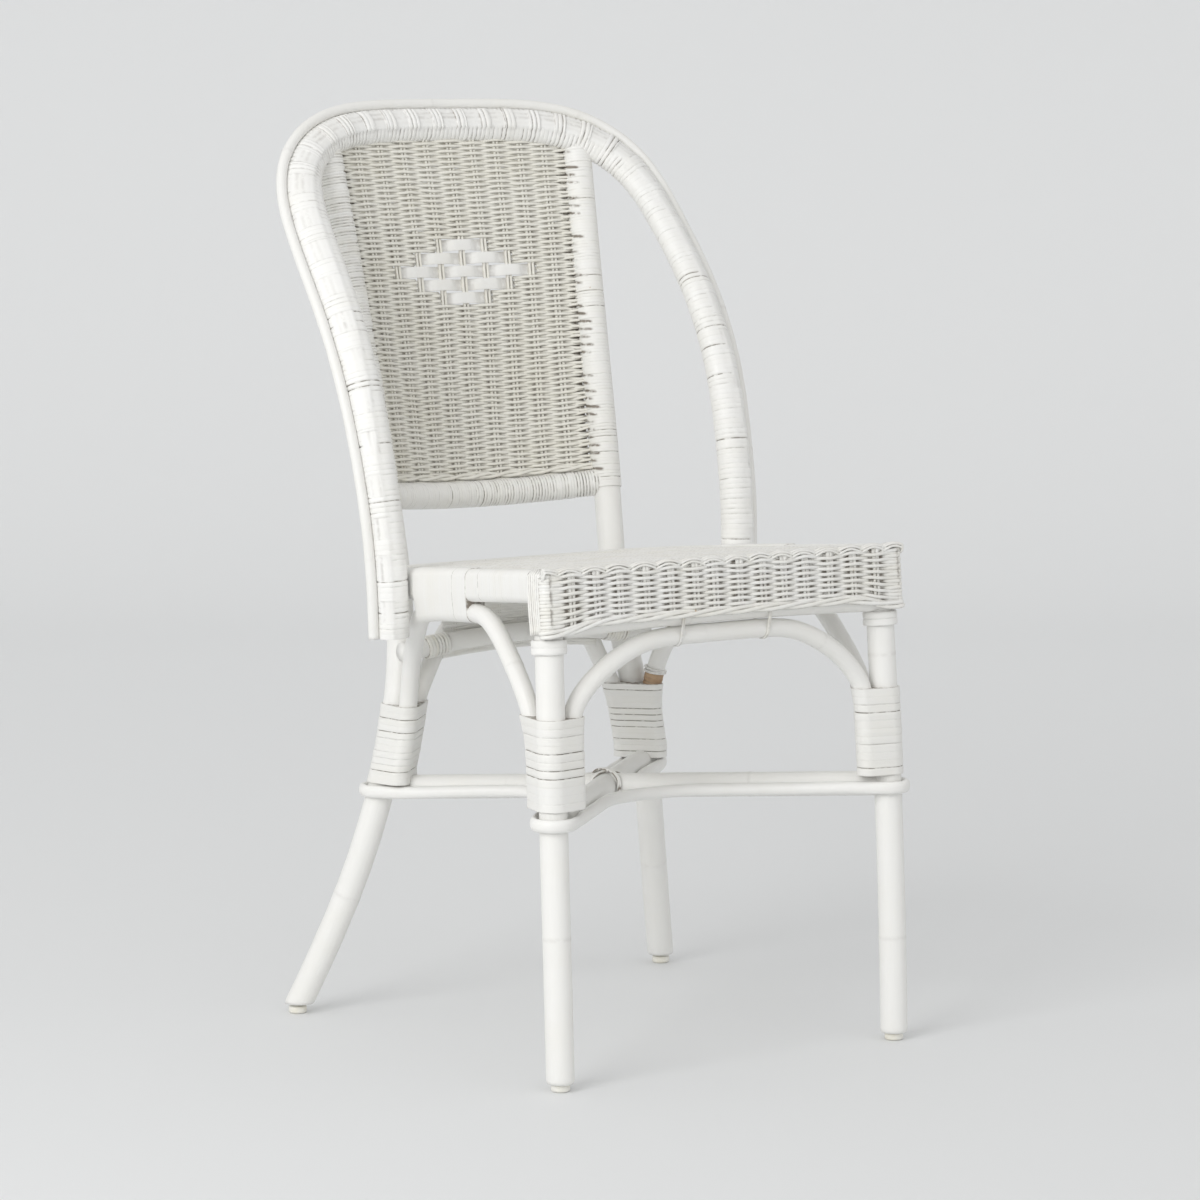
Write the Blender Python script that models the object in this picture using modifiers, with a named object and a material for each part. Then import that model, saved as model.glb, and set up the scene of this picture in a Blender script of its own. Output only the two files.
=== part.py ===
# Painted rattan side chair: bent poles, a wrapped hoop back and woven seat and back.
# Metres, +Z up, +X to the sitter's left as seen from the front, the front faces -Y.
import math

import bmesh
import bpy
import numpy as np
from mathutils import Vector

# General fits
CLEARANCE = 0.0003
CUT_OVERRUN = 0.004

# Leading heights: the seat's front rim, and how far the hoop's line rises above it
SEAT_HEIGHT = 0.483
BACK_RISE = 0.3935
HOOP_TOP_HEIGHT = SEAT_HEIGHT + BACK_RISE

# Front legs: pole diameter, foot place and the pole's end under the seat sheet
LEG_DIAMETER = 0.0266
FRONT_FOOT_HALF_WIDTH = 0.1946
FRONT_FOOT_DEPTH = 0.2136
FRONT_LEG_TOP_DROP = 0.003
FRONT_LEG_SHARES = ((1.0, 1.0, 0.0), (1.006, 0.966, 0.42), (0.992, 0.915, 0.70), (0.977, 0.868, 1.0))

# Rear posts: leg and back stile in one bent pole
POST_DIAMETER = 0.0272
REAR_FOOT_HALF_WIDTH = 0.2235
REAR_FOOT_DEPTH = 0.2202
POST_TOP_DROP = 0.0145
POST_HEIGHT = HOOP_TOP_HEIGHT - POST_TOP_DROP
POST_SHARES = (
    (1.0, 1.0, 0.0), (0.846, 0.838, 0.116), (0.737, 0.720, 0.232), (0.643, 0.681, 0.348),
    (0.561, 0.763, 0.464), (0.596, 0.852, 0.603), (0.623, 1.035, 0.789), (0.671, 1.236, 1.0),
)

# Feet
GLIDE_DIAMETER = 0.018
GLIDE_HEIGHT = 0.007
GLIDE_CHAMFER = 0.0012

# Seat plane: place of the front rim, fall to the back
SEAT_FRONT_SHARE = 0.95974
SEAT_FRONT_DEPTH = FRONT_FOOT_DEPTH * SEAT_FRONT_SHARE
SEAT_SLOPE = math.radians(5.35)
SEAT_SHEET_THICKNESS = 0.004
SKIRT_HALF_WIDTH = 0.2075
SKIRT_THICKNESS = 0.0025
SKIRT_DEPTH = 0.052
SKIRT_CORNER_RADIUS = 0.007

# Seat frame: one bar bent round the sides and the back of the seat
FRAME_WIDTH = 0.022
FRAME_HEIGHT = 0.031
FRAME_EDGE_RADIUS = 0.008
FRAME_FRONT_HALF_WIDTH = 0.204
FRAME_REAR_HALF_WIDTH = 0.187
FRAME_CORNER_RADIUS = 0.058
REAR_BAR_SHARE = 0.7

# Poles under the seat
RIM_POLE_DIAMETER = 0.022
LEG_SPAN_OFFSET = 0.003
FRONT_RAIL_DIAMETER = 0.025
FRONT_RAIL_DROP = 0.061
FRONT_RAIL_SAG = 0.004
REAR_RAIL_DIAMETER = 0.0185
REAR_RAIL_DROP = 0.074
REAR_RAIL_SAG = 0.010
REAR_RAIL_OVERHANG = 0.014
APRON_THICKNESS = 0.003
APRON_BORDER = 0.007

# Arched braces
ARCH_DIAMETER = 0.018
FRONT_ARCH_SHARES = ((0.985, 0.25), (0.84, 0.60), (0.62, 0.88), (0.44, 1.0), (0.22, 1.0), (0.0, 1.0))
REAR_ARCH_SHARES = ((0.955, 0.15), (0.82, 0.48), (0.66, 0.86), (0.45, 1.0), (0.22, 1.0), (0.0, 1.0))
REAR_ARCH_RISE_SHARE = 0.31056
REAR_ARCH_RISE = SEAT_HEIGHT * REAR_ARCH_RISE_SHARE
BOUND_LENGTH_SHARE = 0.84
SIDE_ARCH_FRONT_SHARES = ((0.30, 0.46), (0.74, 0.95))
SIDE_ARCH_REAR_SHARES = ((0.30, 0.14), (0.78, 0.50))
SIDE_ARCH_LEAD = 0.006

# Wrapped joints on the legs
LEG_WRAP_THICKNESS = 0.002
FRONT_WRAP_SHARE = 0.5383
FRONT_WRAP_BOTTOM = SEAT_HEIGHT * FRONT_WRAP_SHARE
FRONT_WRAP_LENGTH = 0.084
REAR_WRAP_SHARE = 0.4886
REAR_WRAP_BOTTOM = SEAT_HEIGHT * REAR_WRAP_SHARE
REAR_WRAP_LENGTH = 0.077
ARCH_END_INSET = 0.006
COLLAR_HEIGHT = 0.012
COLLAR_THICKNESS = 0.0038

# Deep wraps that bind the side arches to the seat frame
SIDE_WRAP_FRONT = -0.055
SIDE_WRAP_LENGTH = 0.104
SIDE_WRAP_THICKNESS = 0.0015

# Crossed stretchers and their looping rod
STRETCHER_DIAMETER = 0.024
STRETCHER_FRONT_SHARE = 0.5176
STRETCHER_REAR_SHARE = 0.4762
STRETCHER_FRONT_HEIGHT = SEAT_HEIGHT * STRETCHER_FRONT_SHARE
STRETCHER_REAR_HEIGHT = SEAT_HEIGHT * STRETCHER_REAR_SHARE
RING_ROD_DIAMETER = 0.0125
RING_ROD_DROP = 0.010
RING_ROD_EASE = 0.0020
RING_TURN_DISTANCE = 0.075
RING_SIDE_SHARES = (0.46, 0.64)
RING_TURN_SHARE = 1.8
LASHING_DIAMETER = 0.0032
LASHING_ROUND_SHARE = 0.9

# Hoop back: an oval wrapped pole with a plain rod outside it
HOOP_DIAMETER = 0.030
HOOP_ARM_LONG = 0.032
HOOP_SHOULDER_LONG = 0.038
HOOP_SHOULDER_SHORT = 0.0272
HOOP_TOP_LONG = 0.0345
HOOP_OVAL_TURN = math.radians(34)
HOOP_FOOT_Y = 0.0635
HOOP_FOOT_DROP = 0.090
HOOP_FOOT_HEIGHT = SEAT_HEIGHT - HOOP_FOOT_DROP
HOOP_TOP_SETBACK = 0.019
HOOP_AXIS_SHARES = (0.0, 0.35, 0.72, 0.90, 1.0)
HOOP_CUT_SHARE = 1.6
HOOP_SHARES = (
    (1.0, 0.0, 0.0), (1.017, -0.017, 0.155), (1.033, 0.050, 0.322), (1.051, 0.152, 0.497),
    (1.055, 0.336, 0.655), (1.044, 0.588, 0.792), (0.994, 0.800, 0.917), (0.683, 0.955, 1.0),
    (0.33, 0.99, 1.0), (0.0, 1.0, 1.0),
)
HOOP_ROD_DIAMETER = 0.0104
HOOP_ROD_TURN = math.radians(6)

# Woven back panel between the stiles
BACK_RAIL_DIAMETER = 0.027
BACK_RAIL_RISE = 0.032
BACK_RAIL_HEIGHT = SEAT_HEIGHT + BACK_RAIL_RISE
STILE_WRAP_THICKNESS = 0.0015
STILE_WRAP_DROP = 0.006
PANEL_THICKNESS = 0.0092
PANEL_REACH_SHARE = 0.965
PANEL_TOP_INSET = 0.010
PANEL_BOW_BOTTOM = 0.034
PANEL_BOW_TOP = 0.009
PANEL_BOW_SHARE = 0.76
STAKE_PITCH = 0.0268
STAKE_WIDTH = 0.0105
STAKE_THICKNESS = 0.0034

# Diamond of flat ribbons woven through the panel
DIAMOND_SHARE = 0.603
DIAMOND_HEIGHT = BACK_RAIL_HEIGHT + (HOOP_TOP_HEIGHT - BACK_RAIL_HEIGHT) * DIAMOND_SHARE
RIBBON_PITCH = 0.0130
RIBBON_HEIGHT = 0.0120
RIBBON_THICKNESS = 0.0010
RIBBON_REACH_SHARES = (1, 2, 3, 2, 1)
RIBBON_SHARPNESS = 2.2
RIBBON_SWING_SHARE = 1.06

# Cane bindings
CANE_WIDTH = 0.0034
CANE_THICKNESS = 0.0010
FRONT_CANE_HALF_WIDTH = 0.050
REAR_LASHING_WIDTH = 0.024
REAR_LASHING_THICKNESS = 0.0014

# Faceting of the round pieces
POLE_SIDES = 12
ROD_SIDES = 8
OVAL_SIDES = 16
CORNER_STEPS = 6


# Small geometry helpers

def clamped_spline(control_points, count):
    """Points of a cubic B-spline that starts and ends on its first and last control point."""
    control = np.array(control_points, dtype=float)
    spans = len(control) - 3
    knots = np.concatenate(([0.0] * 3, np.arange(spans + 1), [spans] * 3))
    places = np.linspace(0, spans, count)
    inside = [(places >= low) & (places < high) for low, high in zip(knots[:-1], knots[1:])]
    weights = np.array(inside, dtype=float)
    weights[spans + 2, -1] = 1
    for degree in range(1, 4):
        raised = np.zeros((len(weights) - 1, count))
        for row in range(len(raised)):
            rise, fall = knots[row + degree] - knots[row], knots[row + degree + 1] - knots[row + 1]
            if rise > 0:
                raised[row] += (places - knots[row]) / rise * weights[row]
            if fall > 0:
                raised[row] += (knots[row + degree + 1] - places) / fall * weights[row + 1]
        weights = raised
    return weights.T @ control


def closed_spline(control_points, steps):
    """Points of a closed cubic B-spline, with the given steps on each of its spans."""
    control = np.array(control_points, dtype=float)
    share = np.arange(steps) / steps
    basis = np.stack([(1 - share) ** 3, 3 * share**3 - 6 * share**2 + 4,
                      -3 * share**3 + 3 * share**2 + 3 * share + 1, share**3], axis=1) / 6
    spans = [basis @ np.roll(control, -start, axis=0)[:4] for start in range(len(control))]
    return np.concatenate(spans)


def at_value(path, axis, value):
    """Point of a path where one coordinate, which grows along it, has a given value."""
    return np.array([np.interp(value, path[:, axis], path[:, other]) for other in range(3)])


def mirrored(path, side):
    """The path of the same piece on the given side, +1 or -1."""
    return path * np.array([side, 1, 1])


def lengthened(path, extra):
    """The same path, carried on a little past both ends."""
    longer = path.copy()
    for end, beside in ((0, 1), (-1, -2)):
        way = path[end] - path[beside]
        longer[end] += way / np.linalg.norm(way) * extra
    return longer


def both_halves(half_path):
    """A whole symmetric path from the half that ends on the middle plane."""
    return np.concatenate([half_path, mirrored(half_path[-2::-1], -1)])


def rounded_section(width, height, radius, corner_steps=3):
    """Outline of a rounded bar, as (across, up) pairs that run counter-clockwise."""
    corners = ((1, 1, 0), (-1, 1, 90), (-1, -1, 180), (1, -1, 270))
    points = []
    for across, up, start in corners:
        for step in range(corner_steps + 1):
            angle = math.radians(start + 90 * step / corner_steps)
            points.append((across * (width / 2 - radius) + radius * math.cos(angle),
                           up * (height / 2 - radius) + radius * math.sin(angle)))
    return np.array(points)


def hull_ring(circles, count):
    """Outline round a group of circles, given as (across, up, radius): the taut wrap round them."""
    points = []
    for step in range(count):
        angle = 2 * math.pi * step / count
        toward = np.array([math.cos(angle), math.sin(angle)])
        across, up, radius = max(circles, key=lambda circle: np.dot(circle[:2], toward) + circle[2])
        points.append((across + radius * toward[0], up + radius * toward[1]))
    return np.array(points)


# Blender helpers

def clear_scene():
    for item in list(bpy.data.objects):
        bpy.data.objects.remove(item, do_unlink=True)


def new_collection(name):
    collection = bpy.data.collections.new(name)
    bpy.context.scene.collection.children.link(collection)
    return collection


def new_material(name, colour, roughness, metallic=0.0):
    material = bpy.data.materials.new(name)
    material.use_nodes = True
    surface = material.node_tree.nodes["Principled BSDF"]
    surface.inputs["Base Color"].default_value = (*colour, 1.0)
    surface.inputs["Roughness"].default_value = roughness
    surface.inputs["Metallic"].default_value = metallic
    return material


def place(item, material, parent=None):
    """Link a finished object to the chair's collection, under its carrier."""
    chair_parts.objects.link(item)
    item.parent = parent or chair_base
    item.data.materials.append(material)
    return item


def place_cutter(item, parent=None):
    cutters.objects.link(item)
    item.parent = parent or chair_base
    item.hide_render = True
    item.display_type = "WIRE"
    return item


def curve_tube(name, path, diameter, sides, closed=False):
    """A round tube along a path, as a curve with a bevel and filled caps."""
    curve = bpy.data.curves.new(name, "CURVE")
    curve.dimensions = "3D"
    spline = curve.splines.new("POLY")
    spline.points.add(len(path) - 1)
    spline.points.foreach_set("co", np.column_stack([path, np.ones(len(path))]).ravel())
    spline.use_cyclic_u = closed
    curve.bevel_depth = diameter / 2
    curve.bevel_resolution = (sides - 4) // 2
    curve.use_fill_caps = not closed
    return bpy.data.objects.new(name, curve)


def mesh_tube(name, path, diameter, sides, closed=False):
    """The same tube as a welded mesh, so that it can be cut or can cut."""
    curve_object = curve_tube(name + "_curve", path, diameter, sides, closed)
    bpy.context.scene.collection.objects.link(curve_object)
    evaluated = curve_object.evaluated_get(bpy.context.evaluated_depsgraph_get())
    mesh = bpy.data.meshes.new_from_object(evaluated)
    bpy.data.objects.remove(curve_object, do_unlink=True)
    shell = bmesh.new()
    shell.from_mesh(mesh)
    bmesh.ops.remove_doubles(shell, verts=shell.verts, dist=CLEARANCE / 100)
    bmesh.ops.recalc_face_normals(shell, faces=shell.faces)
    shell.to_mesh(mesh)
    shell.free()
    mesh.name = name
    return bpy.data.objects.new(name, mesh)


def loft(name, rings, closed=False):
    """A solid through a row of outlines that have the same number of points."""
    rings = np.asarray(rings)
    shell = bmesh.new()
    rows = [[shell.verts.new(point) for point in ring] for ring in rings]
    count = len(rows[0])
    pairs = list(zip(rows, rows[1:] + rows[:1])) if closed else list(zip(rows, rows[1:]))
    for row, after in pairs:
        for spot in range(count):
            beside = (spot + 1) % count
            shell.faces.new((row[spot], row[beside], after[beside], after[spot]))
    if not closed:
        shell.faces.new(rows[0])
        shell.faces.new(rows[-1])
    bmesh.ops.recalc_face_normals(shell, faces=shell.faces)
    mesh = bpy.data.meshes.new(name)
    shell.to_mesh(mesh)
    shell.free()
    return bpy.data.objects.new(name, mesh)


def block(name, low, high):
    """A plain box between two corners."""
    shell = bmesh.new()
    bmesh.ops.create_cube(shell, size=1)
    low, high = np.array(low), np.array(high)
    bmesh.ops.scale(shell, vec=high - low, verts=shell.verts)
    bmesh.ops.translate(shell, vec=(high + low) / 2, verts=shell.verts)
    mesh = bpy.data.meshes.new(name)
    shell.to_mesh(mesh)
    shell.free()
    return bpy.data.objects.new(name, mesh)


def combine(item, other, operation="DIFFERENCE"):
    """Cut an object with another one, or join the other one to it."""
    modifier = item.modifiers.new(other.name, "BOOLEAN")
    modifier.operation = operation
    modifier.solver = "EXACT"
    modifier.object = other


def soften(item):
    """Smooth shading with the real edges kept."""
    item.data.shade_smooth()
    item.data.set_sharp_from_angle(angle=math.radians(40))
    return item


# Centrelines of the poles

def front_leg_path():
    control = [(x * FRONT_FOOT_HALF_WIDTH, -y * FRONT_FOOT_DEPTH, z * (SEAT_HEIGHT - FRONT_LEG_TOP_DROP))
               for x, y, z in FRONT_LEG_SHARES]
    return clamped_spline(control, 9)


def rear_post_path():
    control = [(x * REAR_FOOT_HALF_WIDTH, y * REAR_FOOT_DEPTH, z * POST_HEIGHT) for x, y, z in POST_SHARES]
    return clamped_spline(control, 26)


def seat_point(along, depth):
    """World Y and Z of a place on the seat, from its distance behind the front rim and below the plane."""
    return (-SEAT_FRONT_DEPTH + along * math.cos(SEAT_SLOPE) - depth * math.sin(SEAT_SLOPE),
            SEAT_HEIGHT - along * math.sin(SEAT_SLOPE) - depth * math.cos(SEAT_SLOPE))


def seat_along(world_y, depth):
    """Distance behind the front rim of a place on the seat with a given world Y."""
    return (world_y + SEAT_FRONT_DEPTH + depth * math.sin(SEAT_SLOPE)) / math.cos(SEAT_SLOPE)


def seat_height(world_y, depth):
    return seat_point(seat_along(world_y, depth), depth)[1]


def frame_front_y():
    """Where the seat frame's ends butt on the backs of the front legs."""
    leg = at_value(front_leg, 2, seat_height(-SEAT_FRONT_DEPTH, FRAME_HEIGHT))
    return leg[1] + LEG_DIAMETER / 2 + CLEARANCE


def frame_rear_y():
    """Middle of the seat frame's rear bar, which lies against the fronts of the rear posts."""
    low_y = SEAT_FRONT_DEPTH * REAR_BAR_SHARE
    post = at_value(rear_post, 2, seat_height(low_y, FRAME_HEIGHT))
    return post[1] - POST_DIAMETER / 2 - CLEARANCE - FRAME_WIDTH / 2


def frame_side_x(world_y):
    """Middle of the seat frame's side bar at a given Y."""
    share = (world_y - frame_front_y()) / (HOOP_FOOT_Y - frame_front_y())
    outer = FRAME_FRONT_HALF_WIDTH + (FRAME_REAR_HALF_WIDTH - FRAME_FRONT_HALF_WIDTH) * share
    return outer - FRAME_WIDTH / 2


def frame_half_path(inset=0.0, front_y=None):
    """Right half of the seat frame's line in plan, moved inwards by an inset, ending at X = 0."""
    start_y = frame_front_y() if front_y is None else front_y
    rear_y = frame_rear_y() - inset
    start = Vector((frame_side_x(start_y) - inset, start_y))
    corner = Vector((frame_side_x(rear_y) - inset, rear_y))
    radius = FRAME_CORNER_RADIUS - inset
    inward = (start - corner).normalized()
    across = Vector((-1, 0))
    half_angle = inward.angle(across) / 2
    reach = radius / math.tan(half_angle)
    centre = corner + (inward + across).normalized() * radius / math.sin(half_angle)
    begin, end = corner + inward * reach, corner + across * reach
    first = math.atan2(begin.y - centre.y, begin.x - centre.x)
    last = math.atan2(end.y - centre.y, end.x - centre.x)
    points = [start, (start + begin) / 2]
    for step in range(CORNER_STEPS + 1):
        angle = first + (last - first) * step / CORNER_STEPS
        points.append(centre + Vector((math.cos(angle), math.sin(angle))) * radius)
    points.append(Vector((0, rear_y)))
    return np.array([(point.x, point.y) for point in points])


def hoop_half_path():
    foot_x = frame_side_x(HOOP_FOOT_Y) + FRAME_WIDTH / 2 + CLEARANCE + HOOP_DIAMETER / 2
    top_y = at_value(rear_post, 2, POST_HEIGHT)[1] + HOOP_TOP_SETBACK
    control = [(x * foot_x, HOOP_FOOT_Y + y * (top_y - HOOP_FOOT_Y),
                HOOP_FOOT_HEIGHT + z * (HOOP_TOP_HEIGHT - HOOP_FOOT_HEIGHT)) for x, y, z in HOOP_SHARES]
    return clamped_spline(control, 23)


def hoop_frames(path):
    """Unit vectors out of the hoop and to its back, square to its line."""
    tangent = np.gradient(path, axis=0)
    tangent /= np.linalg.norm(tangent, axis=1)[:, None]
    outward = np.cross(tangent, np.array([0.0, -1.0, 0.0]))
    outward /= np.linalg.norm(outward, axis=1)[:, None]
    return outward, np.cross(tangent, outward)


def hoop_half_axes(path):
    """Half axes of the oval along the hoop: round at the feet, widest at the shoulders."""
    rise = (path[:, 2] - HOOP_FOOT_HEIGHT) / (HOOP_TOP_HEIGHT - HOOP_FOOT_HEIGHT)
    longs = (HOOP_DIAMETER, HOOP_ARM_LONG, HOOP_SHOULDER_LONG, HOOP_SHOULDER_LONG, HOOP_TOP_LONG)
    shorts = (HOOP_DIAMETER, HOOP_DIAMETER, HOOP_SHOULDER_SHORT, HOOP_SHOULDER_SHORT, HOOP_SHOULDER_SHORT)
    long_axis = np.interp(rise, HOOP_AXIS_SHARES, longs)
    short_axis = np.interp(rise, HOOP_AXIS_SHARES, shorts)
    return long_axis / 2, short_axis / 2


def hoop_rings(path, growth=0.0):
    outward, backward = hoop_frames(path)
    half_long, half_short = hoop_half_axes(path)
    turn = HOOP_OVAL_TURN
    long_way = math.cos(turn) * outward + math.sin(turn) * backward
    short_way = -math.sin(turn) * outward + math.cos(turn) * backward
    angles = np.arange(OVAL_SIDES) * 2 * math.pi / OVAL_SIDES
    rings = []
    halves = zip(path, half_long + growth, half_short + growth, long_way, short_way)
    for centre, a, b, along, across in halves:
        rings.append([centre + a * math.cos(angle) * along + b * math.sin(angle) * across
                      for angle in angles])
    return rings


def hoop_rod_path(path):
    """The plain rod lies on the outer side of the wrapped oval."""
    outward, backward = hoop_frames(path)
    half_long, half_short = hoop_half_axes(path)
    turn = HOOP_OVAL_TURN - HOOP_ROD_TURN
    support = np.sqrt((half_long * math.cos(turn)) ** 2 + (half_short * math.sin(turn)) ** 2)
    reach = (support + HOOP_ROD_DIAMETER / 2 + CLEARANCE)[:, None]
    return path + reach * (math.cos(HOOP_ROD_TURN) * outward + math.sin(HOOP_ROD_TURN) * backward)


def panel_point(across, height, offset):
    """Place on the panel: across it as a length, at a height, offset forward from its middle surface.
    The panel bows back square to its lean, deeply at the back rail and hardly at the top."""
    post = at_value(rear_post, 2, height)
    share = (height - BACK_RAIL_HEIGHT) / (HOOP_TOP_HEIGHT - BACK_RAIL_HEIGHT)
    ease = (1 + math.cos(math.pi * min(max(share / PANEL_BOW_SHARE, 0), 1))) / 2
    bow = PANEL_BOW_TOP + (PANEL_BOW_BOTTOM - PANEL_BOW_TOP) * ease
    forward = offset - bow * (1 - (across / post[0]) ** 2)
    lean = panel_lean()
    return (across, post[1] - forward * math.cos(lean), height + forward * math.sin(lean))


def panel_lean():
    low = at_value(rear_post, 2, BACK_RAIL_HEIGHT)
    high = at_value(rear_post, 2, POST_HEIGHT)
    return math.atan2(high[1] - low[1], high[2] - low[2])


def panel_block(name, left, right, bottom, top, back, front, across_steps, up_steps):
    """A curved block on the panel's surface, between two offsets from it."""
    rings = []
    for column in range(across_steps + 1):
        across = left + (right - left) * column / across_steps
        heights = [bottom + (top - bottom) * row / up_steps for row in range(up_steps + 1)]
        ring = [panel_point(across, height, front) for height in heights]
        ring += [panel_point(across, height, back) for height in reversed(heights)]
        rings.append(ring)
    return loft(name, rings)


def panel_body(name, across_steps, up_steps):
    """The whole panel, spread from the middle of one stile to the middle of the other."""
    rings = []
    for share in np.linspace(-PANEL_REACH_SHARE, PANEL_REACH_SHARE, across_steps + 1):
        top = at_value(hoop_path[:len(hoop_path) // 2 + 1][::-1], 0, abs(share) * rear_post[-1][0])[2]
        spots = []
        for height in np.linspace(BACK_RAIL_HEIGHT, top - PANEL_TOP_INSET, up_steps + 1):
            spots.append((share * at_value(rear_post, 2, height)[0], height))
        ring = [panel_point(across, height, PANEL_THICKNESS / 2) for across, height in spots]
        ring += [panel_point(across, height, -PANEL_THICKNESS / 2) for across, height in reversed(spots)]
        rings.append(ring)
    return loft(name, rings)


# Materials

def white_paint(name, warmth=0.0, roughness=0.42):
    return new_material(name, (0.88, 0.87 - warmth, 0.845 - 2 * warmth), roughness)


# Legs, posts and feet

def build_glide(name, spot):
    """A turned plastic glide: its flat lower face rests on the floor."""
    radius = GLIDE_DIAMETER / 2
    profile = [(0, GLIDE_HEIGHT), (radius, GLIDE_HEIGHT), (radius, GLIDE_CHAMFER),
               (radius - GLIDE_CHAMFER, 0), (0, 0)]
    mesh = bpy.data.meshes.new(name)
    mesh.from_pydata([(x, 0, z) for x, z in profile], [(i, i + 1) for i in range(len(profile) - 1)], [])
    glide = place(bpy.data.objects.new(name, mesh), glide_plastic)
    glide.location = (spot[0], spot[1], 0)
    screw = glide.modifiers.new("turn", "SCREW")
    screw.steps = screw.render_steps = POLE_SIDES
    screw.use_merge_vertices = True
    screw.merge_threshold = CLEARANCE / 10
    return glide


def floor_cutter(name, spot):
    """Trims a pole level above its glide."""
    reach = LEG_DIAMETER + CUT_OVERRUN
    low = (spot[0] - reach, spot[1] - reach, -reach)
    high = (spot[0] + reach, spot[1] + reach, GLIDE_HEIGHT + CLEARANCE)
    return place_cutter(block(name, low, high))


def seat_underside_cutter(name, spot):
    """Trims a front leg under the sloping seat sheet."""
    reach = LEG_DIAMETER + CUT_OVERRUN
    along = seat_along(spot[1], SEAT_SHEET_THICKNESS)
    low = (spot[0] - reach, along - reach, -SEAT_SHEET_THICKNESS - CLEARANCE)
    high = (spot[0] + reach, along + reach, reach)
    return place_cutter(block(name, low, high), seat_plane)


def build_front_leg(side_name, side):
    path = mirrored(front_leg, side)
    leg = place(mesh_tube("front_leg_" + side_name, path, LEG_DIAMETER, POLE_SIDES), pole_paint)
    combine(leg, floor_cutter("front_foot_cut_" + side_name, path[0]))
    combine(leg, seat_underside_cutter("front_top_cut_" + side_name, path[-1]))
    soften(leg)
    build_glide("front_glide_" + side_name, at_value(path, 2, GLIDE_HEIGHT))


def build_rear_post(side_name, side):
    path = mirrored(rear_post, side)
    post = place(mesh_tube("rear_post_" + side_name, path, POST_DIAMETER, POLE_SIDES), pole_paint)
    combine(post, floor_cutter("rear_foot_cut_" + side_name, path[0]))
    combine(post, hoop_cutter)
    soften(post)
    build_glide("rear_glide_" + side_name, at_value(path, 2, GLIDE_HEIGHT))


# Hoop back

def build_hoop():
    soften(place(loft("back_hoop", hoop_rings(hoop_path)), wrap_paint))
    rod = mesh_tube("hoop_rod", hoop_rod_path(hoop_path), HOOP_ROD_DIAMETER, ROD_SIDES)
    soften(place(rod, pole_paint))


def stile_sleeve_path(side):
    heights = np.linspace(BACK_RAIL_HEIGHT - STILE_WRAP_DROP, POST_HEIGHT - CUT_OVERRUN, 9)
    return mirrored(np.array([at_value(rear_post, 2, height) for height in heights]), side)


def build_stile_wrap(side_name, side):
    sleeve = mesh_tube("stile_wrap_" + side_name, stile_sleeve_path(side),
                       POST_DIAMETER + 2 * STILE_WRAP_THICKNESS, POLE_SIDES)
    place(sleeve, wrap_paint)
    combine(sleeve, post_cutters[side])
    combine(sleeve, hoop_cutter)
    soften(sleeve)


def sleeve_cutter(side_name, side):
    """The wrapped stile, grown by the clearance and carried below the wrap for the back rail."""
    heights = np.linspace(BACK_RAIL_HEIGHT - BACK_RAIL_DIAMETER, POST_HEIGHT, 14)
    path = mirrored(np.array([at_value(rear_post, 2, height) for height in heights]), side)
    grown = POST_DIAMETER + 2 * (STILE_WRAP_THICKNESS + CLEARANCE)
    return place_cutter(mesh_tube("stile_cut_" + side_name, lengthened(path, CUT_OVERRUN), grown, POLE_SIDES))


def back_rail_path():
    half = at_value(rear_post, 2, BACK_RAIL_HEIGHT)[0]
    spots = np.linspace(-half, half, 9)
    return np.array([panel_point(across, BACK_RAIL_HEIGHT, 0) for across in spots])


def build_back_rail():
    rail = place(mesh_tube("back_rail", back_rail_path(), BACK_RAIL_DIAMETER, POLE_SIDES), wrap_paint)
    for side in (1, -1):
        combine(rail, sleeve_cutters[side])
    soften(rail)


def build_back_panel():
    """The woven panel with its stepped window, crossed by the stakes that the ribbons weave through."""
    panel = place(panel_body("back_panel", 14, 12), weave_paint)
    combine(panel, hoop_cutter)
    rail_cut = mesh_tube("back_rail_cut", back_rail_path(), BACK_RAIL_DIAMETER + 2 * CLEARANCE, POLE_SIDES)
    combine(panel, place_cutter(rail_cut))
    for side in (1, -1):
        combine(panel, sleeve_cutters[side])
    cut_window(panel)
    add_stakes(panel)
    panel.data.shade_flat()


def ribbon_row_height(row):
    return DIAMOND_HEIGHT + (len(RIBBON_REACH_SHARES) // 2 - row) * RIBBON_PITCH


def pocket_half_width(reach):
    """A ribbon's end lies across the outermost stake that it reaches."""
    return reach * STAKE_PITCH + STAKE_WIDTH / 2 + CLEARANCE


def cut_window(panel):
    """Open the stepped diamond row by row; each narrower row runs a little into the wider one."""
    through = PANEL_THICKNESS / 2 + CUT_OVERRUN
    middle_row = len(RIBBON_REACH_SHARES) // 2
    for row, reach in enumerate(RIBBON_REACH_SHARES):
        half, middle = pocket_half_width(reach) + CLEARANCE, ribbon_row_height(row)
        bottom = middle - RIBBON_PITCH / 2 - (CLEARANCE if row < middle_row else 0)
        top = middle + RIBBON_PITCH / 2 + (CLEARANCE if row > middle_row else 0)
        opening = panel_block(f"window_{row + 1}", -half, half, bottom, top, -through, through, 3 * reach, 1)
        combine(panel, place_cutter(opening))


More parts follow.
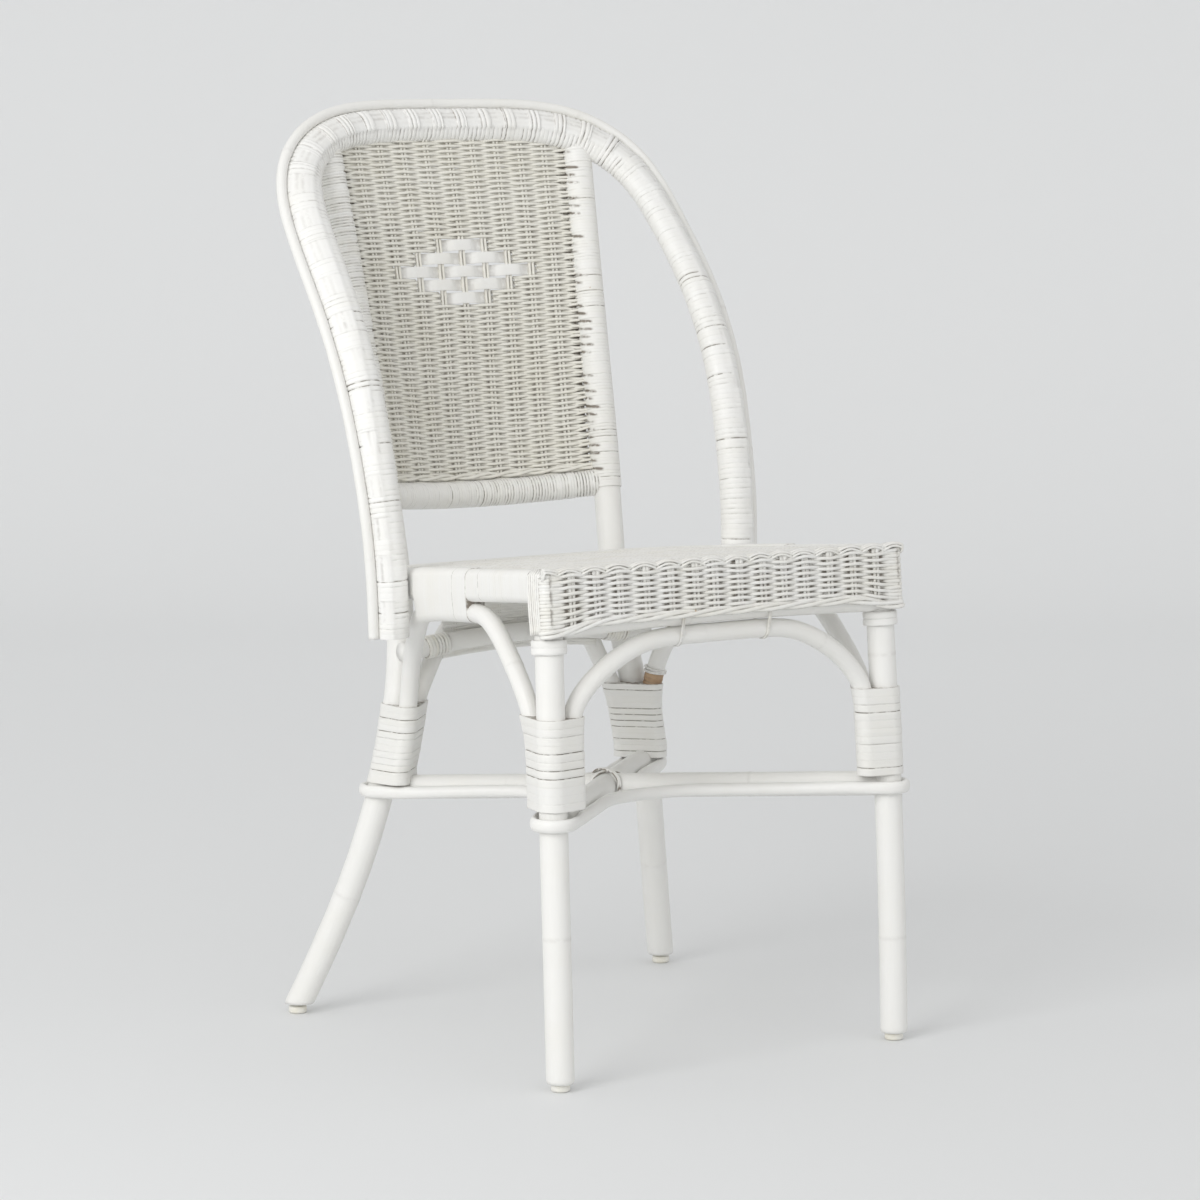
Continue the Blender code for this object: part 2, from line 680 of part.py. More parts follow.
def add_stakes(panel):
    """The thin stakes that cross the window, each as tall as the diamond is there."""
    for stake in range(-max(RIBBON_REACH_SHARES), max(RIBBON_REACH_SHARES) + 1):
        rows = [row for row, reach in enumerate(RIBBON_REACH_SHARES) if reach >= abs(stake)]
        bottom = ribbon_row_height(rows[-1]) - RIBBON_PITCH / 2 - CUT_OVERRUN
        top = ribbon_row_height(rows[0]) + RIBBON_PITCH / 2 + CUT_OVERRUN
        middle = stake * STAKE_PITCH
        bar = panel_block(f"stake_{stake}", middle - STAKE_WIDTH / 2, middle + STAKE_WIDTH / 2, bottom, top,
                          -STAKE_THICKNESS / 2, STAKE_THICKNESS / 2, 1, len(rows) + 2)
        combine(panel, place_cutter(bar), "UNION")


def build_ribbon(row, reach):
    """A flat cane ribbon that goes over one stake and behind the next."""
    half = pocket_half_width(reach)
    swing = STAKE_THICKNESS / 2 + CLEARANCE + RIBBON_THICKNESS / 2
    first_over = 1 if row % 2 == 0 else -1
    bottom = ribbon_row_height(row) - RIBBON_HEIGHT / 2
    rings = []
    steps = 12 * reach
    for step in range(steps + 1):
        across = -half + 2 * half * step / steps
        swing_angle = math.pi * across / STAKE_PITCH
        wave = math.tanh(RIBBON_SHARPNESS * math.cos(swing_angle)) / math.tanh(RIBBON_SHARPNESS)
        middle = first_over * swing * RIBBON_SWING_SHARE * wave
        front, back = middle + RIBBON_THICKNESS / 2, middle - RIBBON_THICKNESS / 2
        rings.append([panel_point(across, bottom, front), panel_point(across, bottom + RIBBON_HEIGHT, front),
                      panel_point(across, bottom + RIBBON_HEIGHT, back), panel_point(across, bottom, back)])
    soften(place(loft(f"diamond_ribbon_{row + 1}", rings), ribbon_paint))


# Seat

def seat_frame_rings(growth=0.0):
    """Sections of the seat frame along its line, in the seat's own plane."""
    plan = both_halves(np.column_stack([frame_half_path(), np.zeros(len(frame_half_path()))]))
    tangent = np.gradient(plan, axis=0)
    tangent /= np.linalg.norm(tangent, axis=1)[:, None]
    tangent[0], tangent[-1] = (0, 1, 0), (0, -1, 0)
    section = rounded_section(FRAME_WIDTH + 2 * growth, FRAME_HEIGHT + 2 * growth, FRAME_EDGE_RADIUS + growth)
    rings = []
    for spot, way in zip(plan, tangent):
        outward = np.array([way[1], -way[0], 0])
        along = seat_along(spot[1], FRAME_HEIGHT / 2)
        centre = np.array([spot[0], along, -FRAME_HEIGHT / 2])
        rings.append([centre + across * outward + np.array([0, 0, up]) for across, up in section])
    return rings


def build_seat_frame():
    """The bent frame, its ends coped to the backs of the front legs."""
    frame = place(loft("seat_frame", seat_frame_rings()), pole_paint, seat_plane)
    for side in (1, -1):
        combine(frame, leg_cutters[side])
    soften(frame)


def prism(name, outline, bottom, top):
    """An upright solid from a flat outline, as a filled 2D curve with an extrude, made a mesh."""
    curve = bpy.data.curves.new(name, "CURVE")
    curve.dimensions = "2D"
    curve.fill_mode = "BOTH"
    curve.extrude = (top - bottom) / 2
    spline = curve.splines.new("POLY")
    spline.points.add(len(outline) - 1)
    ends = np.tile((0.0, 1.0), (len(outline), 1))
    spline.points.foreach_set("co", np.column_stack([outline, ends]).ravel())
    spline.use_cyclic_u = True
    carrier = bpy.data.objects.new(name, curve)
    bpy.context.scene.collection.objects.link(carrier)
    mesh = bpy.data.meshes.new_from_object(carrier.evaluated_get(bpy.context.evaluated_depsgraph_get()))
    bpy.data.objects.remove(carrier, do_unlink=True)
    shell = bmesh.new()
    shell.from_mesh(mesh)
    bmesh.ops.remove_doubles(shell, verts=shell.verts, dist=CLEARANCE / 100)
    bmesh.ops.translate(shell, vec=(0, 0, (top + bottom) / 2), verts=shell.verts)
    bmesh.ops.recalc_face_normals(shell, faces=shell.faces)
    shell.to_mesh(mesh)
    shell.free()
    mesh.name = name
    return bpy.data.objects.new(name, mesh)


def corner_return_end():
    """How far behind the front rim the skirt turns round the leg: up to the seat frame's end."""
    return seat_along(frame_front_y(), FRAME_HEIGHT / 2) - CLEARANCE - CUT_OVERRUN / 10


def skirt_corner(half_width, front, radius):
    """Rounded front corner of the skirt in plan, from the side to the front."""
    angles = [math.radians(-90 * step / 4) for step in range(5)]
    return [(half_width - radius + radius * math.cos(angle), front + radius + radius * math.sin(angle))
            for angle in angles]


def seat_sheet_outline(growth=0.0):
    inset = FRAME_WIDTH / 2 + CLEARANCE - growth
    back = corner_return_end()
    inner = frame_half_path(inset, seat_point(back, FRAME_HEIGHT / 2)[0])
    inner = [(x, seat_along(y, FRAME_HEIGHT / 2)) for x, y in inner]
    right = skirt_corner(SKIRT_HALF_WIDTH, 0, SKIRT_CORNER_RADIUS)
    right = list(reversed(right)) + [(SKIRT_HALF_WIDTH, back)] + inner
    return np.array(right + [(-x, y) for x, y in reversed(right[:-1])])


def skirt_outline():
    back = corner_return_end()
    outer = skirt_corner(SKIRT_HALF_WIDTH, 0, SKIRT_CORNER_RADIUS)
    inner = skirt_corner(SKIRT_HALF_WIDTH - SKIRT_THICKNESS, SKIRT_THICKNESS,
                         SKIRT_CORNER_RADIUS - SKIRT_THICKNESS)
    right_outer = [(SKIRT_HALF_WIDTH, back)] + outer
    right_inner = [(SKIRT_HALF_WIDTH - SKIRT_THICKNESS, back)] + inner
    left_outer = [(-x, y) for x, y in reversed(right_outer)]
    left_inner = [(-x, y) for x, y in right_inner]
    return np.array(right_outer + left_outer + left_inner + list(reversed(right_inner)))


def build_seat_weave():
    """The woven seat: a sheet inside the frame, turned down over the front as a skirt."""
    sheet = prism("seat_weave", seat_sheet_outline(), -SEAT_SHEET_THICKNESS, 0)
    skirt = prism("seat_skirt_part", skirt_outline(), -SKIRT_DEPTH, -SEAT_SHEET_THICKNESS / 2)
    combine(sheet, place_cutter(skirt, seat_plane), "UNION")
    soften(place(sheet, weave_paint, seat_plane))


def leg_span_path(height_depth, sag, steps=8):
    """A pole between the front legs, at a depth below the front rim, bent down a little at its ends."""
    leg = at_value(front_leg, 2, SEAT_HEIGHT - height_depth)
    height = seat_height(leg[1], height_depth)
    spots = np.linspace(-leg[0], leg[0], steps + 1)
    return np.array([(x, leg[1] - LEG_SPAN_OFFSET, height - sag * (x / leg[0]) ** 2) for x in spots])


def build_front_poles():
    """The rim pole under the sheet's front edge, and the rail below it."""
    rim_depth = SEAT_SHEET_THICKNESS + 2 * CLEARANCE + RIM_POLE_DIAMETER / 2
    rim_path = leg_span_path(rim_depth, 0, 2)
    rim = mesh_tube("seat_rim_pole", rim_path, RIM_POLE_DIAMETER, POLE_SIDES)
    rail = mesh_tube("seat_front_rail", front_rail_path, FRONT_RAIL_DIAMETER, POLE_SIDES)
    for pole in (rim, rail):
        place(pole, pole_paint)
        for side in (1, -1):
            combine(pole, leg_cutters[side])
        soften(pole)


def rear_rail_path():
    """The rear rail crosses the fronts of the rear posts and dips towards its ends."""
    height = seat_height(frame_rear_y(), REAR_RAIL_DROP)
    post = at_value(rear_post, 2, height - REAR_RAIL_SAG)
    y = post[1] - (POST_DIAMETER + REAR_RAIL_DIAMETER) / 2 - 2 * CLEARANCE
    reach = post[0] + REAR_RAIL_OVERHANG
    spots = np.linspace(-reach, reach, 11)
    return np.array([(x, y, height - REAR_RAIL_SAG * min(abs(x) / post[0], 1) ** 2) for x in spots])


def build_rear_apron():
    """The woven band between the seat frame and the rear rail, behind the rail."""
    rail = rear_rail
    inner = abs(rail[0][0]) - 2 * REAR_RAIL_OVERHANG - POST_DIAMETER
    spots = np.linspace(-inner, inner, 9)
    rings = []
    for x in spots:
        rail_height = np.interp(x, rail[:, 0], rail[:, 2])
        top = seat_height(frame_rear_y(), FRAME_HEIGHT + CLEARANCE) - CLEARANCE
        bottom = rail_height - REAR_RAIL_DIAMETER / 2 - APRON_BORDER
        front = rail[0][1] + REAR_RAIL_DIAMETER / 2 + CLEARANCE
        back = front + APRON_THICKNESS
        rings.append([(x, front, bottom), (x, front, top), (x, back, top), (x, back, bottom)])
    soften(place(loft("rear_apron", rings), weave_paint))


def build_rear_poles():
    soften(place(mesh_tube("rear_rail", rear_rail, REAR_RAIL_DIAMETER, POLE_SIDES), pole_paint))
    build_rear_apron()
    for side_name, side in SIDES:
        build_rear_lashing(side_name, side)


def build_rear_lashing(side_name, side):
    """Cane turns round the rear rail, hard against the inner side of the rear post."""
    post = at_value(rear_post, 2, rear_rail[0][2])
    outer = post[0] - POST_DIAMETER / 2 - 2 * CLEARANCE
    spots = np.linspace(outer - REAR_LASHING_WIDTH, outer, 3)
    path = [(side * x, rear_rail[0][1], np.interp(x, rear_rail[:, 0], rear_rail[:, 2])) for x in spots]
    sleeve = mesh_tube("rear_lashing_" + side_name, np.array(path),
                       REAR_RAIL_DIAMETER + 2 * (CLEARANCE + REAR_LASHING_THICKNESS), POLE_SIDES)
    grown = mesh_tube("rear_rail_cut_" + side_name, rear_rail, REAR_RAIL_DIAMETER + 2 * CLEARANCE, POLE_SIDES)
    place(sleeve, cane_paint)
    combine(sleeve, place_cutter(grown))
    soften(sleeve)


# Arched braces

def arch_gap():
    """Distance from a leg's middle to the middle of an arch end bound against it."""
    return (LEG_DIAMETER + ARCH_DIAMETER) / 2 + CLEARANCE


def post_arch_gap():
    return (POST_DIAMETER + ARCH_DIAMETER) / 2 + CLEARANCE


def bound_stations(leg, gap, bottom, length):
    """Places of an arch end that is bound against a leg inside its wrap."""
    heights = (bottom, bottom + length * BOUND_LENGTH_SHARE / 2, bottom + length * BOUND_LENGTH_SHARE)
    return [at_value(leg, 2, height) + gap for height in heights]


def cross_arch_path(feet, crown_y, crown_z, shares):
    """From the inner side of a leg up to a level crown on the middle plane."""
    last = feet[-1]
    control = list(feet)
    for x, z in shares:
        plan_share = min(z / (1 - BOUND_LENGTH_SHARE), 1)
        control.append((x * last[0], last[1] + plan_share * (crown_y - last[1]),
                        last[2] + z * (crown_z - last[2])))
    return both_halves(clamped_spline(control, 16))


def front_arch_path():
    """Its crown lies under the front rail."""
    bottom = FRONT_WRAP_BOTTOM + ARCH_END_INSET
    feet = bound_stations(front_leg, (-arch_gap(), 0, 0), bottom, FRONT_WRAP_LENGTH - ARCH_END_INSET)
    crown = front_rail_path[len(front_rail_path) // 2]
    top = crown[2] - (FRONT_RAIL_DIAMETER + ARCH_DIAMETER) / 2 - 2 * CLEARANCE
    return cross_arch_path(feet, crown[1], top, FRONT_ARCH_SHARES)


def rear_arch_path():
    """Its crown lies behind the apron."""
    bottom = REAR_WRAP_BOTTOM + 2 * ARCH_END_INSET
    feet = bound_stations(rear_post, (-post_arch_gap(), 0, 0), bottom, REAR_WRAP_LENGTH - 2 * ARCH_END_INSET)
    crown_y = rear_rail[0][1] + (REAR_RAIL_DIAMETER + ARCH_DIAMETER) / 2 + APRON_THICKNESS + 3 * CLEARANCE
    return cross_arch_path(feet, crown_y, bottom + REAR_ARCH_RISE, REAR_ARCH_SHARES)


def side_arch_path():
    """From behind a front leg, under the seat frame's side, down to the front of a rear post."""
    low_front, low_rear = FRONT_WRAP_BOTTOM + ARCH_END_INSET, REAR_WRAP_BOTTOM + 2 * ARCH_END_INSET
    front = bound_stations(front_leg, (0, arch_gap(), 0), low_front, FRONT_WRAP_LENGTH - ARCH_END_INSET)
    rear = bound_stations(rear_post, (0, -post_arch_gap(), 0), low_rear,
                          REAR_WRAP_LENGTH - 2 * ARCH_END_INSET)
    rear.reverse()
    depth = FRAME_HEIGHT + 2 * CLEARANCE + ARCH_DIAMETER / 2
    crown_front = SIDE_WRAP_FRONT - SIDE_ARCH_LEAD
    crown_rear = SIDE_WRAP_FRONT + SIDE_WRAP_LENGTH
    crown = [(frame_side_x(y), y, seat_height(y, depth)) for y in (crown_front, crown_rear)]
    rise, fall = crown[0][2] - front[-1][2], rear[0][2] - crown[1][2]
    climb = [blend_point(front[-1], crown[0], *shares, rise) for shares in SIDE_ARCH_FRONT_SHARES]
    descent = [blend_point(crown[1], rear[0], *shares, fall) for shares in SIDE_ARCH_REAR_SHARES]
    top = [crown[0], (np.array(crown[0]) + crown[1]) / 2, crown[1]]
    return clamped_spline([*front, *climb, *top, *descent, *rear], 25)


def blend_point(start, end, plan_share, height_share, rise):
    """A place between two others, with its own share of the way in plan and in height."""
    start, end = np.array(start), np.array(end)
    spot = start + (end - start) * plan_share
    spot[2] = start[2] + rise * height_share
    return spot


def build_arches():
    for name, path in (("front_arch", front_arch), ("rear_arch", rear_arch)):
        soften(place(mesh_tube(name, path, ARCH_DIAMETER, ROD_SIDES), pole_paint))
    for side_name, side in SIDES:
        arch = mesh_tube("side_arch_" + side_name, mirrored(side_arch, side), ARCH_DIAMETER, ROD_SIDES)
        soften(place(arch, pole_paint))


def build_front_cane(side_name, side):
    """A flat cane band that ties the front arch up to the rail."""
    x = side * FRONT_CANE_HALF_WIDTH
    middle = len(front_rail_path) // 2
    rail = np.array([front_rail_path[middle][1], np.interp(x, front_rail_path[:, 0], front_rail_path[:, 2])])
    arch = np.array([front_arch[len(front_arch) // 2][1], at_value(front_arch[::-1], 0, x)[2]])
    circles = [(rail[0], rail[1], FRONT_RAIL_DIAMETER / 2), (arch[0], arch[1], ARCH_DIAMETER / 2)]
    rings = []
    for spot, growth in ((-1, 1), (1, 1), (1, 0), (-1, 0)):
        grown = 3 * CLEARANCE + growth * CANE_THICKNESS
        outline = hull_ring([(y, z, radius + grown) for y, z, radius in circles], 20)
        rings.append([(x + spot * CANE_WIDTH / 2, y, z) for y, z in outline])
    soften(place(loft("front_cane_" + side_name, rings, closed=True), cane_paint))


# Wrapped joints

def leg_wrap_rings(paths_and_sizes, bottom, length):
    """The taut outline round a leg and the two arch ends bound to it, at a few heights."""
    rings = []
    for height in np.linspace(bottom, bottom + length, 4):
        circles = []
        for path, diameter in paths_and_sizes:
            spot = at_value(path, 2, height)
            circles.append((spot[0], spot[1], diameter / 2 + CLEARANCE + LEG_WRAP_THICKNESS))
        rings.append([(x, y, height) for x, y in hull_ring(circles, 24)])
    return rings


def arch_limb(path, rising=True):
    """The stretch of an arch up to its highest point, with its heights growing."""
    limb = path if rising else path[::-1]
    return limb[:int(np.argmax(limb[:, 2])) + 1]


def build_leg_wraps(side_name, side):
    front_group = ((front_leg, LEG_DIAMETER), (arch_limb(front_arch), ARCH_DIAMETER),
                   (arch_limb(side_arch), ARCH_DIAMETER))
    rear_group = ((rear_post, POST_DIAMETER), (arch_limb(rear_arch), ARCH_DIAMETER),
                  (arch_limb(side_arch, rising=False), ARCH_DIAMETER))
    jobs = (("front", front_group, FRONT_WRAP_BOTTOM, FRONT_WRAP_LENGTH, front_arch),
            ("rear", rear_group, REAR_WRAP_BOTTOM, REAR_WRAP_LENGTH, rear_arch))
    for end, group, bottom, length, across_arch in jobs:
        mirrored_group = [(mirrored(path, side), size) for path, size in group]
        name = f"{end}_leg_wrap_{side_name}"
        wrap = place(loft(name, leg_wrap_rings(mirrored_group, bottom, length)), wrap_paint)
        combine(wrap, leg_cutters[side] if end == "front" else post_cutters[side])
        combine(wrap, arch_cutters[end])
        combine(wrap, side_arch_cutters[side])
        combine(wrap, stretcher_cutters[side if end == "front" else -side])
        soften(wrap)


def build_collar(side_name, side):
    """A turned cane collar under the skirt's corner."""
    top = FRONT_RAIL_DIAMETER / 2 + FRONT_RAIL_SAG + CLEARANCE
    height = front_rail_path[len(front_rail_path) // 2][2] - top - COLLAR_HEIGHT
    heights = np.linspace(height, height + COLLAR_HEIGHT, 2)
    path = mirrored(np.array([at_value(front_leg, 2, level) for level in heights]), side)
    collar = mesh_tube("leg_collar_" + side_name, path, LEG_DIAMETER + 2 * COLLAR_THICKNESS, POLE_SIDES)
    place(collar, wrap_paint)
    combine(collar, leg_cutters[side])
    soften(collar)


def side_wrap_rings():
    """The taut outline round the seat frame's side and the arch crown under it."""
    corner_x = FRAME_WIDTH / 2 - FRAME_EDGE_RADIUS
    corner_z = FRAME_HEIGHT / 2 - FRAME_EDGE_RADIUS
    grown = CLEARANCE + SIDE_WRAP_THICKNESS
    rings = []
    for y in np.linspace(SIDE_WRAP_FRONT, SIDE_WRAP_FRONT + SIDE_WRAP_LENGTH, 4):
        x, z = frame_side_x(y), seat_height(y, FRAME_HEIGHT / 2)
        circles = [(x + a * corner_x, z + b * corner_z, FRAME_EDGE_RADIUS + grown)
                   for a in (-1, 1) for b in (-1, 1)]
        crown = at_value(side_arch, 1, y)
        circles.append((crown[0], crown[2], ARCH_DIAMETER / 2 + grown))
        rings.append([(x, y, z) for x, z in hull_ring(circles, 24)])
    return np.array(rings)


def build_side_wrap(side_name, side):
    wrap = loft("side_wrap_" + side_name, [mirrored(ring, side) for ring in side_wrap_rings()])
    place(wrap, wrap_paint)
    combine(wrap, frame_cutter)
    combine(wrap, side_arch_cutters[side])
    combine(wrap, sheet_cutter)
    soften(wrap)


# Stretchers

def stretcher_path(side):
    """From a front leg to the opposite rear post; side is the front leg's."""
    front = mirrored(at_value(front_leg, 2, STRETCHER_FRONT_HEIGHT), side)
    rear = mirrored(at_value(rear_post, 2, STRETCHER_REAR_HEIGHT), -side)
    return np.array([front + (rear - front) * share for share in (0, 0.25, 0.5, 0.75, 1)])


def crossing_point():
    front, rear = stretcher_path(1)[0], stretcher_path(1)[-1]
    return front + (rear - front) * front[0] / (front[0] - rear[0])


def lap_cutter(name, side, upward):
    """A block along the other stretcher that takes away the upper or the lower half at the lap."""
    path, centre = stretcher_path(side), crossing_point()
    way = (path[-1] - path[0]) / np.linalg.norm(path[-1] - path[0])
    half, reach = STRETCHER_DIAMETER / 2 + CLEARANCE, STRETCHER_DIAMETER + CUT_OVERRUN
    low, high = (-CLEARANCE / 2, reach) if upward else (-reach, CLEARANCE / 2)
    cutter = place_cutter(block(name, (-reach, -half, low), (reach, half, high)))
    cutter.location = centre
    cutter.rotation_euler = (0, 0, math.atan2(way[1], way[0]))
    return cutter


def build_stretchers():
    """Two poles crossed with a half lap, their ends coped to the legs."""
    for side_name, side in SIDES:
        pole = mesh_tube("stretcher_" + side_name, stretcher_path(side), STRETCHER_DIAMETER, POLE_SIDES)
        place(pole, pole_paint)
        combine(pole, leg_cutters[side])
        combine(pole, post_cutters[-side])
        combine(pole, lap_cutter("lap_cut_" + side_name, -side, side > 0))
        soften(pole)


def ring_control_points():
    """Corners of the looping rod: along one side of each stretcher, round its leg and back."""
    centre = crossing_point()
    touching = (STRETCHER_DIAMETER + RING_ROD_DIAMETER) / 2 + CLEARANCE * 2
    side_step = math.sqrt(touching**2 - RING_ROD_DROP**2)
    control = []
    front = (front_leg, STRETCHER_FRONT_HEIGHT, LEG_DIAMETER)
    rear = (rear_post, STRETCHER_REAR_HEIGHT, POST_DIAMETER)
    for path, height, diameter, side in ((*front, 1), (*rear, 1), (*rear, -1), (*front, -1)):
        low = height - RING_ROD_DROP
        leg = mirrored(at_value(path, 2, low), side)
        way = (leg - centre) * (1, 1, 0)
        length = np.linalg.norm(way)
        way /= length
        aside = np.array([way[1], -way[0], 0])
        ring = (diameter + RING_ROD_DIAMETER) / 2 + RING_ROD_EASE
        turn = math.radians(45)
        swell = 3 / (2 + math.cos(turn))

        def level(distance):
            middle = centre[2] - RING_ROD_DROP
            return np.array([0, 0, middle + (low - middle) * distance / length])

        base = centre * (1, 1, 0)
        for sign in (1, -1):
            beside = [base + way * far + sign * aside * side_step + level(far)
                      for far in (RING_TURN_DISTANCE, *(length * share for share in RING_SIDE_SHARES))]
            near = [base + way * (length - ring * RING_TURN_SHARE) + sign * aside * ring * swell
                    + level(length)]
            round_leg = [leg + ring * swell * (math.cos(angle) * way + sign * math.sin(angle) * aside)
                         for angle in (turn * 2, turn)]
            points = beside + near + round_leg
            if sign > 0:
                control += points + [leg + ring * swell * way]
            else:
                control += points[::-1]
    return control


def build_ring_rod():
    path = closed_spline(ring_control_points(), 2)
    soften(place(mesh_tube("stretcher_ring", path, RING_ROD_DIAMETER, ROD_SIDES, closed=True), pole_paint))


def build_centre_lashings():
    """Two cane loops over the crossing, one lying over the other."""
    centre = crossing_point()
    half_wide = STRETCHER_DIAMETER / 2 / math.sin(math.radians(45))
    for name, turn, layer in (("centre_lashing_lower", 0, 0), ("centre_lashing_upper", math.pi / 2, 1)):
        lift = CLEARANCE * 2 + LASHING_DIAMETER / 2 + layer * (LASHING_DIAMETER + CLEARANCE)
        wide, tall = half_wide + lift + CLEARANCE * 2, STRETCHER_DIAMETER / 2 + lift
        section = rounded_section(2 * wide, 2 * tall, tall * LASHING_ROUND_SHARE, 3)
        path = [centre + (across * math.cos(turn), across * math.sin(turn), up) for across, up in section]
        loop = mesh_tube(name, np.array(path), LASHING_DIAMETER, ROD_SIDES, closed=True)
        soften(place(loop, cane_paint))


# Assembly

def stand_on_middle():
    """Move the whole chair so that its origin is under the middle of its bounding box."""
    bpy.context.view_layer.update()
    graph = bpy.context.evaluated_depsgraph_get()
    reach = []
    for item in chair_parts.objects:
        if item.type == "MESH":
            shape = item.evaluated_get(graph)
            reach += [(shape.matrix_world @ Vector(corner)).y for corner in shape.bound_box]
    chair_base.location.y = -(min(reach) + max(reach)) / 2


clear_scene()
chair_parts = new_collection("rattan_chair")
cutters = new_collection("cutters")
chair_base = bpy.data.objects.new("chair_base", None)
chair_parts.objects.link(chair_base)
seat_plane = bpy.data.objects.new("seat_plane", None)
chair_parts.objects.link(seat_plane)
seat_plane.parent = chair_base
seat_plane.location = (0, -SEAT_FRONT_DEPTH, SEAT_HEIGHT)
seat_plane.rotation_euler = (-SEAT_SLOPE, 0, 0)

SIDES = (("left", 1), ("right", -1))

pole_paint = white_paint("painted_pole")
wrap_paint = white_paint("painted_cane_wrap", 0.004, 0.46)
weave_paint = white_paint("painted_weave", 0.008, 0.50)
ribbon_paint = white_paint("painted_ribbon", 0.002, 0.40)
cane_paint = white_paint("painted_cane", 0.012, 0.50)
glide_plastic = new_material("glide_plastic", (0.78, 0.75, 0.70), 0.45)

front_leg = front_leg_path()
rear_post = rear_post_path()
hoop_path = both_halves(hoop_half_path())
front_rail_path = leg_span_path(FRONT_RAIL_DROP - FRONT_RAIL_DIAMETER / 2, FRONT_RAIL_SAG)
rear_rail = rear_rail_path()
front_arch = front_arch_path()
rear_arch = rear_arch_path()
side_arch = side_arch_path()

hoop_cutter = place_cutter(loft("hoop_cut", hoop_rings(hoop_path, HOOP_CUT_SHARE * CLEARANCE)))
frame_cutter = place_cutter(loft("frame_cut", seat_frame_rings(CLEARANCE)), seat_plane)
sheet_cut = prism("sheet_cut", seat_sheet_outline(CLEARANCE), -SEAT_SHEET_THICKNESS - CLEARANCE, CUT_OVERRUN)
sheet_cutter = place_cutter(sheet_cut, seat_plane)
leg_cutters, post_cutters, sleeve_cutters, side_arch_cutters, stretcher_cutters = {}, {}, {}, {}, {}
for side_name, side in SIDES:
    leg_cutters[side] = place_cutter(mesh_tube("leg_cut_" + side_name, mirrored(front_leg, side),
                                               LEG_DIAMETER + 2 * CLEARANCE, POLE_SIDES))
    post_cutters[side] = place_cutter(mesh_tube("post_cut_" + side_name, mirrored(rear_post, side),
                                                POST_DIAMETER + 2 * CLEARANCE, POLE_SIDES))
    arch_line = lengthened(mirrored(side_arch, side), CLEARANCE)
    side_arch_cutters[side] = place_cutter(mesh_tube("side_arch_cut_" + side_name, arch_line,
                                                     ARCH_DIAMETER + 2 * CLEARANCE, ROD_SIDES))
    stretcher_cutters[side] = place_cutter(mesh_tube("stretcher_cut_" + side_name, stretcher_path(side),
                                                     STRETCHER_DIAMETER + 2 * CLEARANCE, POLE_SIDES))
    sleeve_cutters[side] = sleeve_cutter(side_name, side)
arch_cutters = {name: place_cutter(mesh_tube(name + "_arch_cut", lengthened(path, CLEARANCE),
                                             ARCH_DIAMETER + 2 * CLEARANCE, ROD_SIDES))
                for name, path in (("front", front_arch), ("rear", rear_arch))}

for side_name, side in SIDES:
    build_front_leg(side_name, side)
    build_rear_post(side_name, side)
    build_stile_wrap(side_name, side)
    build_leg_wraps(side_name, side)
    build_collar(side_name, side)
    build_side_wrap(side_name, side)
    build_front_cane(side_name, side)
build_hoop()
build_back_rail()
build_back_panel()
for row, reach in enumerate(RIBBON_REACH_SHARES):
    build_ribbon(row, reach)
build_seat_frame()
build_seat_weave()
build_front_poles()
build_rear_poles()
build_arches()
build_stretchers()
build_ring_rod()
build_centre_lashings()
stand_on_middle()
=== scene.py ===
import math

import bpy
import numpy as np
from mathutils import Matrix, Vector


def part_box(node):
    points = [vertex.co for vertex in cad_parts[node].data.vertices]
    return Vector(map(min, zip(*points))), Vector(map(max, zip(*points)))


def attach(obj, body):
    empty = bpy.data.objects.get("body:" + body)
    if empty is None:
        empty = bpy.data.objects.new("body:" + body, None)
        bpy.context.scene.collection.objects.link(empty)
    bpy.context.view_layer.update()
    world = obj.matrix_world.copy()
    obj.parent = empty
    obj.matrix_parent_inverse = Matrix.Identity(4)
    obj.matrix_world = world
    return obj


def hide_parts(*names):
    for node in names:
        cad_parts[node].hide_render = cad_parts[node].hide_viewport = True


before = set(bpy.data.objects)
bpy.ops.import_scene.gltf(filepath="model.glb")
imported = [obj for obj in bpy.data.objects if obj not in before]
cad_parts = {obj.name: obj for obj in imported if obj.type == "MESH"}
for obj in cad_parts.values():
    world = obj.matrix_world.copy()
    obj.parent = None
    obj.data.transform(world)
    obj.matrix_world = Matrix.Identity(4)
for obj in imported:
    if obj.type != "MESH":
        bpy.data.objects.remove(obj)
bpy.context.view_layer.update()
print("frame loaded:", len(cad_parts), "nodes")

bothSides = (("left", 1), ("right", -1))
fullTurn = 2 * np.pi


# Curves and surfaces as whole arrays

def splineCurve(control, count):
    # cubic B-spline clamped at both ends: the sum of the control points times their basis functions
    control = np.array(control, float)
    spans = len(control) - 3
    knots = np.concatenate(([0.0] * 3, np.arange(spans + 1), [spans] * 3))
    places = np.linspace(0, spans, count)
    weights = np.array([(places >= a) & (places < b) for a, b in zip(knots[:-1], knots[1:])], float)
    weights[spans + 2, -1] = 1
    for degree in range(1, 4):
        raised = np.zeros((len(weights) - 1, count))
        for row in range(len(raised)):
            rise, fall = knots[row + degree] - knots[row], knots[row + degree + 1] - knots[row + 1]
            raised[row] += (places - knots[row]) / rise * weights[row] if rise > 0 else 0
            raised[row] += (knots[row + degree + 1] - places) / fall * weights[row + 1] if fall > 0 else 0
        weights = raised
    return weights.T @ control


